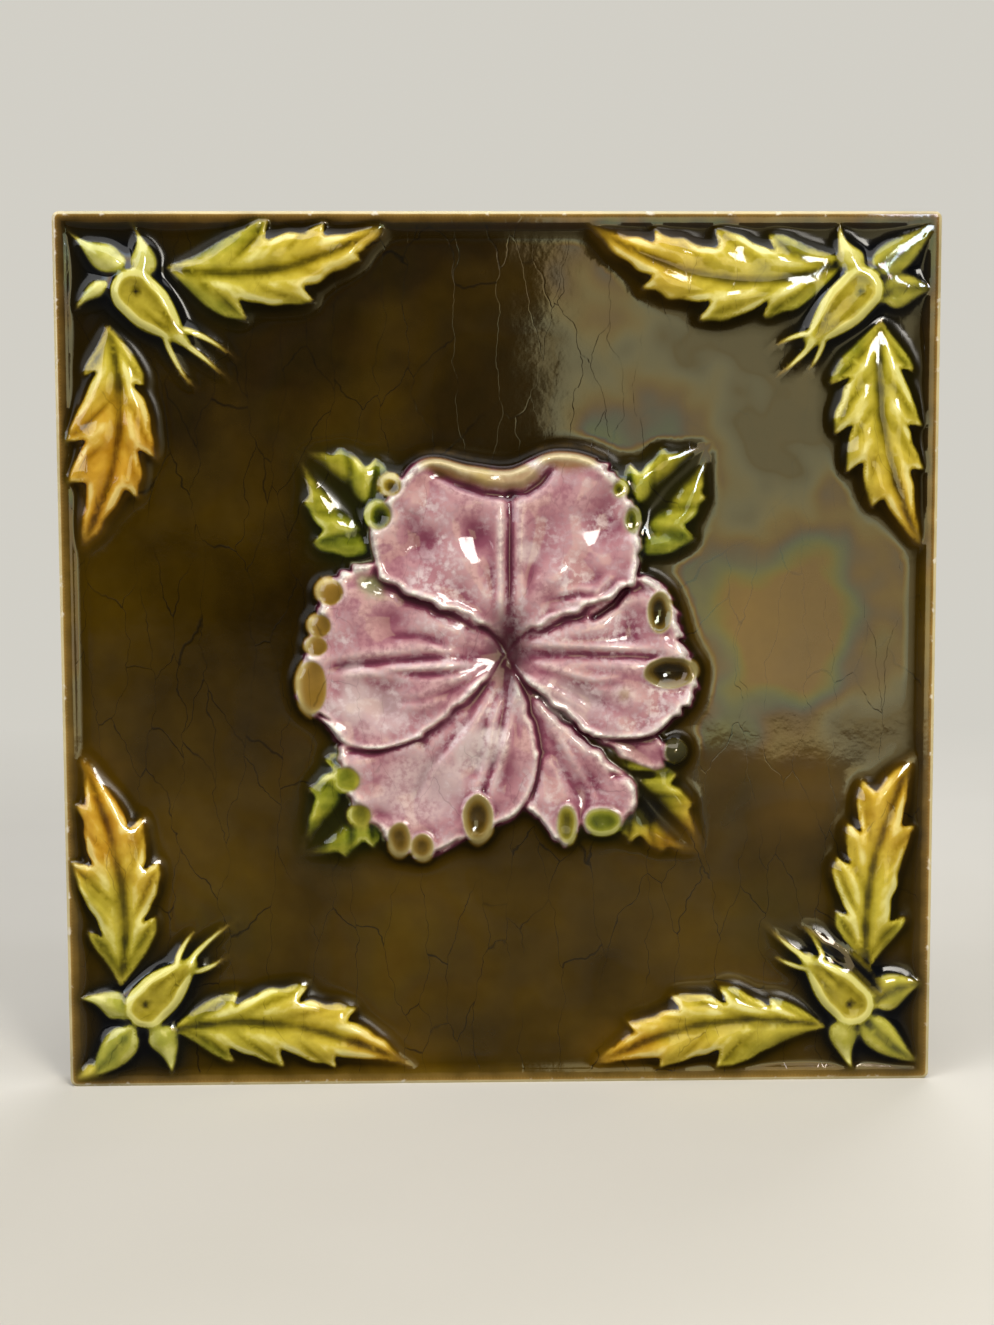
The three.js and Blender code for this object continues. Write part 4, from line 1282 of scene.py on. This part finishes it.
@dataclass(frozen=True)
class PalePaper:
    """Matt off-white paper under and behind the tile."""

    name: str = "pale_paper"
    colour: str = "#d8d4ca"
    cloud_mm: float = 111.0

    def make(self) -> bpy.types.Material:
        """Makes the material.

        Returns:
            The material.
        """
        material = bpy.data.materials.new(self.name)
        material.use_nodes = True
        tree = material.node_tree
        shader = tree.nodes["Principled BSDF"]
        place = add(tree, "ShaderNodeTexCoord").outputs["Object"]
        cloud = noise(tree, place, self.cloud_mm, 3.0)
        colour = ramp(tree, cloud, ((0.3, self.colour), (0.7, "#dedad1")))
        rays = add(tree, "ShaderNodeLightPath").outputs["Is Camera Ray"]
        tree.links.new(mixed(tree, rays, linear("#4a4640"), colour), shader.inputs["Base Color"])
        shader.inputs["Roughness"].default_value = 0.8
        away = add(tree, "ShaderNodeVectorMath", {"operation": "LENGTH"}, {0: place}).outputs["Value"]
        haze = add(tree, "ShaderNodeEmission", {"Color": linear("#dcd9d0"), "Strength": 0.9})
        far = product(tree, rising(tree, away, 0.21, 0.56), rays)
        both = add(tree, "ShaderNodeMixShader", links={0: far, 1: shader.outputs[0], 2: haze.outputs[0]})
        tree.links.new(both.outputs[0], tree.nodes["Material Output"].inputs["Surface"])
        return material


def read(items: bpy.types.bpy_prop_collection, name: str, width: int = 1) -> np.ndarray:
    """Reads one property of all the points, corners or polygons of a mesh.

    Args:
        items: the collection.
        name: the property's name.
        width: how many numbers it has.

    Returns:
        The numbers, one item a row where it has more than one.
    """
    values = np.zeros(len(items) * width)
    items.foreach_get(name, values)
    return values.reshape(-1, width) if width > 1 else values


@dataclass
class ReliefTile:
    """The tile: its pressed face, its sides and its keyed back, as one closed mesh. Lengths are in mm.

    A polygon belongs to the face where it lies less than side_below under the field and its normal's Y is
    under facing_front, and to the back where it lies within level_within of it and looks square on.
    """

    corner_radius: float = 1.2
    back_chamfer: float = 0.4
    pocket_count: int = 4
    pocket_pitch: float = 34.0
    pocket_width: float = 27.0
    pocket_depth: float = 1.4
    pocket_draft: float = 1.2
    side_below: float = 0.35
    facing_front: float = -0.05
    level_within: float = 0.01
    centre_within: float = 2.0
    square_on: float = 0.99

    def face(self) -> PressedFace:
        """Presses and glazes the face."""
        face = PressedFace()
        for form in (*LEAF_TIPS, *LEAVES, *SEPALS, *BUDS, *PETALS, *SWELLS, *PITS, *FOLDS, *STAINS):
            form.press(face)
        face.glaze_over()
        return face

    def rounded(self, x: np.ndarray, z: np.ndarray) -> tuple[np.ndarray, np.ndarray]:
        """Rounds the square's corners in plan.

        Args:
            x: places across, in mm.
            z: places up, in mm.

        Returns:
            The moved places.
        """
        flat = HALF_MM - self.corner_radius
        dx, dz = abs(x) - flat, abs(z) - flat
        inside = (dx > 0) & (dz > 0)
        longest = np.maximum(dx, dz)
        factor = np.where(inside, longest / np.maximum(np.hypot(dx, dz), 1e-9), 1.0)
        new_x = np.where(inside, np.sign(x) * (flat + dx * factor), x)
        new_z = np.where(inside, np.sign(z) * (flat + dz * factor), z)
        return new_x, new_z

    def build(self) -> bpy.types.Object:
        """Builds the tile.

        Returns:
            The finished object.
        """
        face = self.face()
        triangles = Skin(face).triangles()
        flat = triangles[..., 0] * (face.cells + 1) + triangles[..., 1]
        used, index = np.unique(flat, return_inverse=True)
        index = index.reshape(-1, 3)
        rows, columns = np.divmod(used, face.cells + 1)
        x, z = self.rounded(face.x[rows, columns], face.z[rows, columns])
        height = np.minimum(face.height[rows, columns], DEPTH_LIMIT_MM - 0.02)
        points = np.stack([x, -height, z], 1) * MM
        a, b, c = points[index[:, 0]], points[index[:, 1]], points[index[:, 2]]
        inward = np.cross(b - a, c - a)[:, 1] > 0
        index[inward] = index[inward][:, ::-1]
        mesh = bpy.data.meshes.new("glazed_tile")
        mesh.from_pydata(points.tolist(), [], index.tolist())
        layers = {zone.value: face.layers[zone] for zone in Zone}
        layers |= {"glaze_depth_and_shade": face.depth, "glaze_relief_shade": face.relief_shade}
        layers |= {"glaze_pool_and_shadow": face.pool, "glaze_tint": face.tint}
        for name, values in layers.items():
            attribute = mesh.attributes.new(name, "FLOAT", "POINT")
            attribute.data.foreach_set("value", values[rows, columns].astype(np.float32))
        up, across = np.gradient(face.height, face.step)
        slope = np.stack([-across[rows, columns], -np.ones(len(rows)), -up[rows, columns]], 1)
        slope /= np.linalg.norm(slope, axis=1, keepdims=True)
        leaning = mesh.attributes.new("relief_normal", "FLOAT_VECTOR", "POINT")
        leaning.data.foreach_set("vector", slope.ravel().astype(np.float32))
        mesh.shade_smooth()
        mesh.materials.append(MajolicaGlaze().make())
        mesh.materials.append(BiscuitClay().make())
        tile = bpy.data.objects.new("glazed_tile", mesh)
        bpy.context.scene.collection.objects.link(tile)
        LOG.info("face: %d triangles", len(index))
        self.add_back(tile)
        return tile

    def add_back(self, tile: bpy.types.Object) -> None:
        """Draws the face's border back to the flat, closes it and sinks the keying pockets."""
        bpy.ops.object.select_all(action="DESELECT")
        tile.select_set(True)
        bpy.context.view_layer.objects.active = tile
        bpy.ops.object.mode_set(mode="EDIT")
        bpy.ops.mesh.select_mode(type="EDGE")
        bpy.ops.mesh.select_all(action="DESELECT")
        bpy.ops.mesh.select_non_manifold(extend=False)
        tile.active_material_index = 1
        chamfer = self.back_chamfer * MM
        bpy.ops.mesh.extrude_edges_move()
        bpy.ops.transform.resize(value=(1, 0, 1), center_override=(0, -chamfer, 0))
        bpy.ops.mesh.extrude_edges_move()
        shrink = 1 - self.back_chamfer / HALF_MM
        bpy.ops.transform.resize(value=(shrink, 0, shrink), center_override=(0, 0, 0))
        bpy.ops.mesh.edge_face_add()
        bpy.ops.mesh.select_mode(type="FACE")
        first = -(self.pocket_count - 1) / 2 * self.pocket_pitch
        centres = [first + k * self.pocket_pitch for k in range(self.pocket_count)]
        lines = [c + side * self.pocket_width / 2 for c in centres for side in (-1, 1)]
        for axis in ((1, 0, 0), (0, 0, 1)):
            for line in lines:
                self.select_back(tile)
                place = Vector(axis) * line * MM
                bpy.ops.mesh.bisect(plane_co=place, plane_no=axis)
        self.select_back(tile, centres)
        draft, depth = self.pocket_draft * MM, -self.pocket_depth * MM
        bpy.ops.mesh.inset(thickness=draft, depth=depth, use_individual=True)
        bpy.ops.object.mode_set(mode="OBJECT")
        mesh = tile.data
        sides = self.sides(tile)
        mesh.polygons.foreach_set("material_index", sides.astype(np.int32))
        mesh.polygons.foreach_set("use_smooth", ~sides)
        self.lean_normals(mesh, sides)
        mesh.update()

    def lean_normals(self, mesh: bpy.types.Mesh, sides: np.ndarray) -> None:
        """Gives each corner on the face the relief's own slope, so that the glaze shines evenly.

        Args:
            mesh: the tile's mesh.
            sides: true for the polygons that stay flat.
        """
        relief = mesh.attributes["relief_normal"]
        corners = read(mesh.polygons, "loop_total").astype(int)
        owner = np.repeat(np.arange(len(corners)), corners)
        normals = read(relief.data, "vector", 3)[read(mesh.loops, "vertex_index").astype(int)]
        on_side = sides[owner]
        normals[on_side] = read(mesh.polygons, "normal", 3)[owner][on_side]
        mesh.attributes.remove(relief)
        mesh.normals_split_custom_set(normals.tolist())

    def sides(self, tile: bpy.types.Object) -> np.ndarray:
        """True for each polygon of the sides and the back."""
        polygons = tile.data.polygons
        front = read(polygons, "center", 3)[:, 1] < -(FIELD_HEIGHT_MM - self.side_below) * MM
        return ~(front & (read(polygons, "normal", 3)[:, 1] < self.facing_front))

    def select_back(self, tile: bpy.types.Object, pockets: list[float] | None = None) -> None:
        """Selects the faces of the flat back, or only those at the pockets' centres."""
        bpy.ops.object.mode_set(mode="OBJECT")
        mesh = tile.data
        centre = read(mesh.polygons, "center", 3)
        square = abs(read(mesh.polygons, "normal", 3)[:, 1]) > self.square_on
        chosen = (abs(centre[:, 1]) < self.level_within * MM) & square
        if pockets is not None:
            where = np.array(pockets) * MM
            near_x = abs(centre[:, :1] - where).min(1) < self.centre_within * MM
            near_z = abs(centre[:, 2:] - where).min(1) < self.centre_within * MM
            chosen &= near_x & near_z
        mesh.polygons.foreach_set("select", chosen)
        used = np.zeros(len(mesh.vertices), bool)
        for polygon in np.flatnonzero(chosen):
            used[list(mesh.polygons[int(polygon)].vertices)] = True
        mesh.vertices.foreach_set("select", used)
        mesh.edges.foreach_set("select", np.zeros(len(mesh.edges), bool))
        bpy.ops.object.mode_set(mode="EDIT")


@dataclass(frozen=True)
class PaleStudio:
    """A pale floor, soft panels and the camera where the photograph was taken."""

    camera_mm: tuple[float, float, float] = (-8.3, -353.6, 29.0)
    yaw: float = -1.30
    pitch: float = -5.02
    roll: float = 0.17
    focal_px: float = 1990.0
    long_side_px: float = 1325.0
    sensor_mm: float = 36.0
    seen_colour: str = "#dcd9d0"
    seen_strength: float = 0.9
    given_colour: str = "#e6e6ea"
    given_strength: float = 0.06
    floor_side: float = 6.0

    def camera(self) -> None:
        """Places the camera."""
        data = bpy.data.cameras.new("camera")
        data.sensor_width = self.sensor_mm
        data.lens = self.focal_px / self.long_side_px * self.sensor_mm
        data.clip_start = 0.01
        camera = bpy.data.objects.new("camera", data)
        camera.location = Vector(self.camera_mm) * MM
        camera.rotation_euler = [math.radians(turn) for turn in (90 + self.pitch, self.roll, self.yaw)]
        bpy.context.scene.collection.objects.link(camera)
        bpy.context.scene.camera = camera

    def lights(self) -> None:
        """Hangs the panels, each turned to the tile."""
        for panel in Studio:
            name, centre, size, watts, colour = panel.value
            data = bpy.data.lights.new(name, "AREA")
            data.shape = "RECTANGLE"
            data.size, data.size_y = size
            data.energy = watts
            data.color = linear(colour)[:3]
            light = bpy.data.objects.new(name, data)
            light.location = centre
            light.rotation_euler = (-Vector(centre)).to_track_quat("-Z", "Y").to_euler()
            light.visible_camera = False
            bpy.context.scene.collection.objects.link(light)

    def world(self) -> None:
        """A pale surround for the camera, and a dimmer one for the light that it gives."""
        world = bpy.data.worlds.new("pale_surround")
        world.use_nodes = True
        tree = world.node_tree
        tree.nodes.clear()
        rays = add(tree, "ShaderNodeLightPath")
        seen, given = (
            add(tree, "ShaderNodeBackground", {"Color": linear(colour), "Strength": strength}).outputs[0]
            for colour, strength in (
                (self.seen_colour, self.seen_strength),
                (self.given_colour, self.given_strength),
            )
        )
        both = add(tree, "ShaderNodeMixShader",
                   links={0: rays.outputs["Is Camera Ray"], 1: given, 2: seen})
        add(tree, "ShaderNodeOutputWorld", links={"Surface": both.outputs[0]})
        bpy.context.scene.world = world

    def floor(self) -> None:
        """Lays the floor under the tile's lower edge."""
        bpy.ops.object.select_all(action="DESELECT")
        bpy.ops.mesh.primitive_plane_add(size=self.floor_side, location=(0, 0, CAD_BOX[0].z))
        ground = bpy.context.object
        bpy.ops.object.transform_apply(location=True)
        ground.name = "floor"
        ground.data.materials.append(PalePaper().make())

    def build(self) -> None:
        """Sets the scene and its colour handling."""
        self.floor()
        self.lights()
        self.world()
        self.camera()
        bpy.context.scene.view_settings.view_transform = "Standard"


def main() -> None:
    """Builds the tile and the studio."""
    logging.basicConfig(level=logging.INFO, format="%(name)s: %(message)s")
    tile = ReliefTile().build()
    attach(tile, "root")
    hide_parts(NODE)
    PaleStudio().build()


if __name__ == "__main__":
    main()
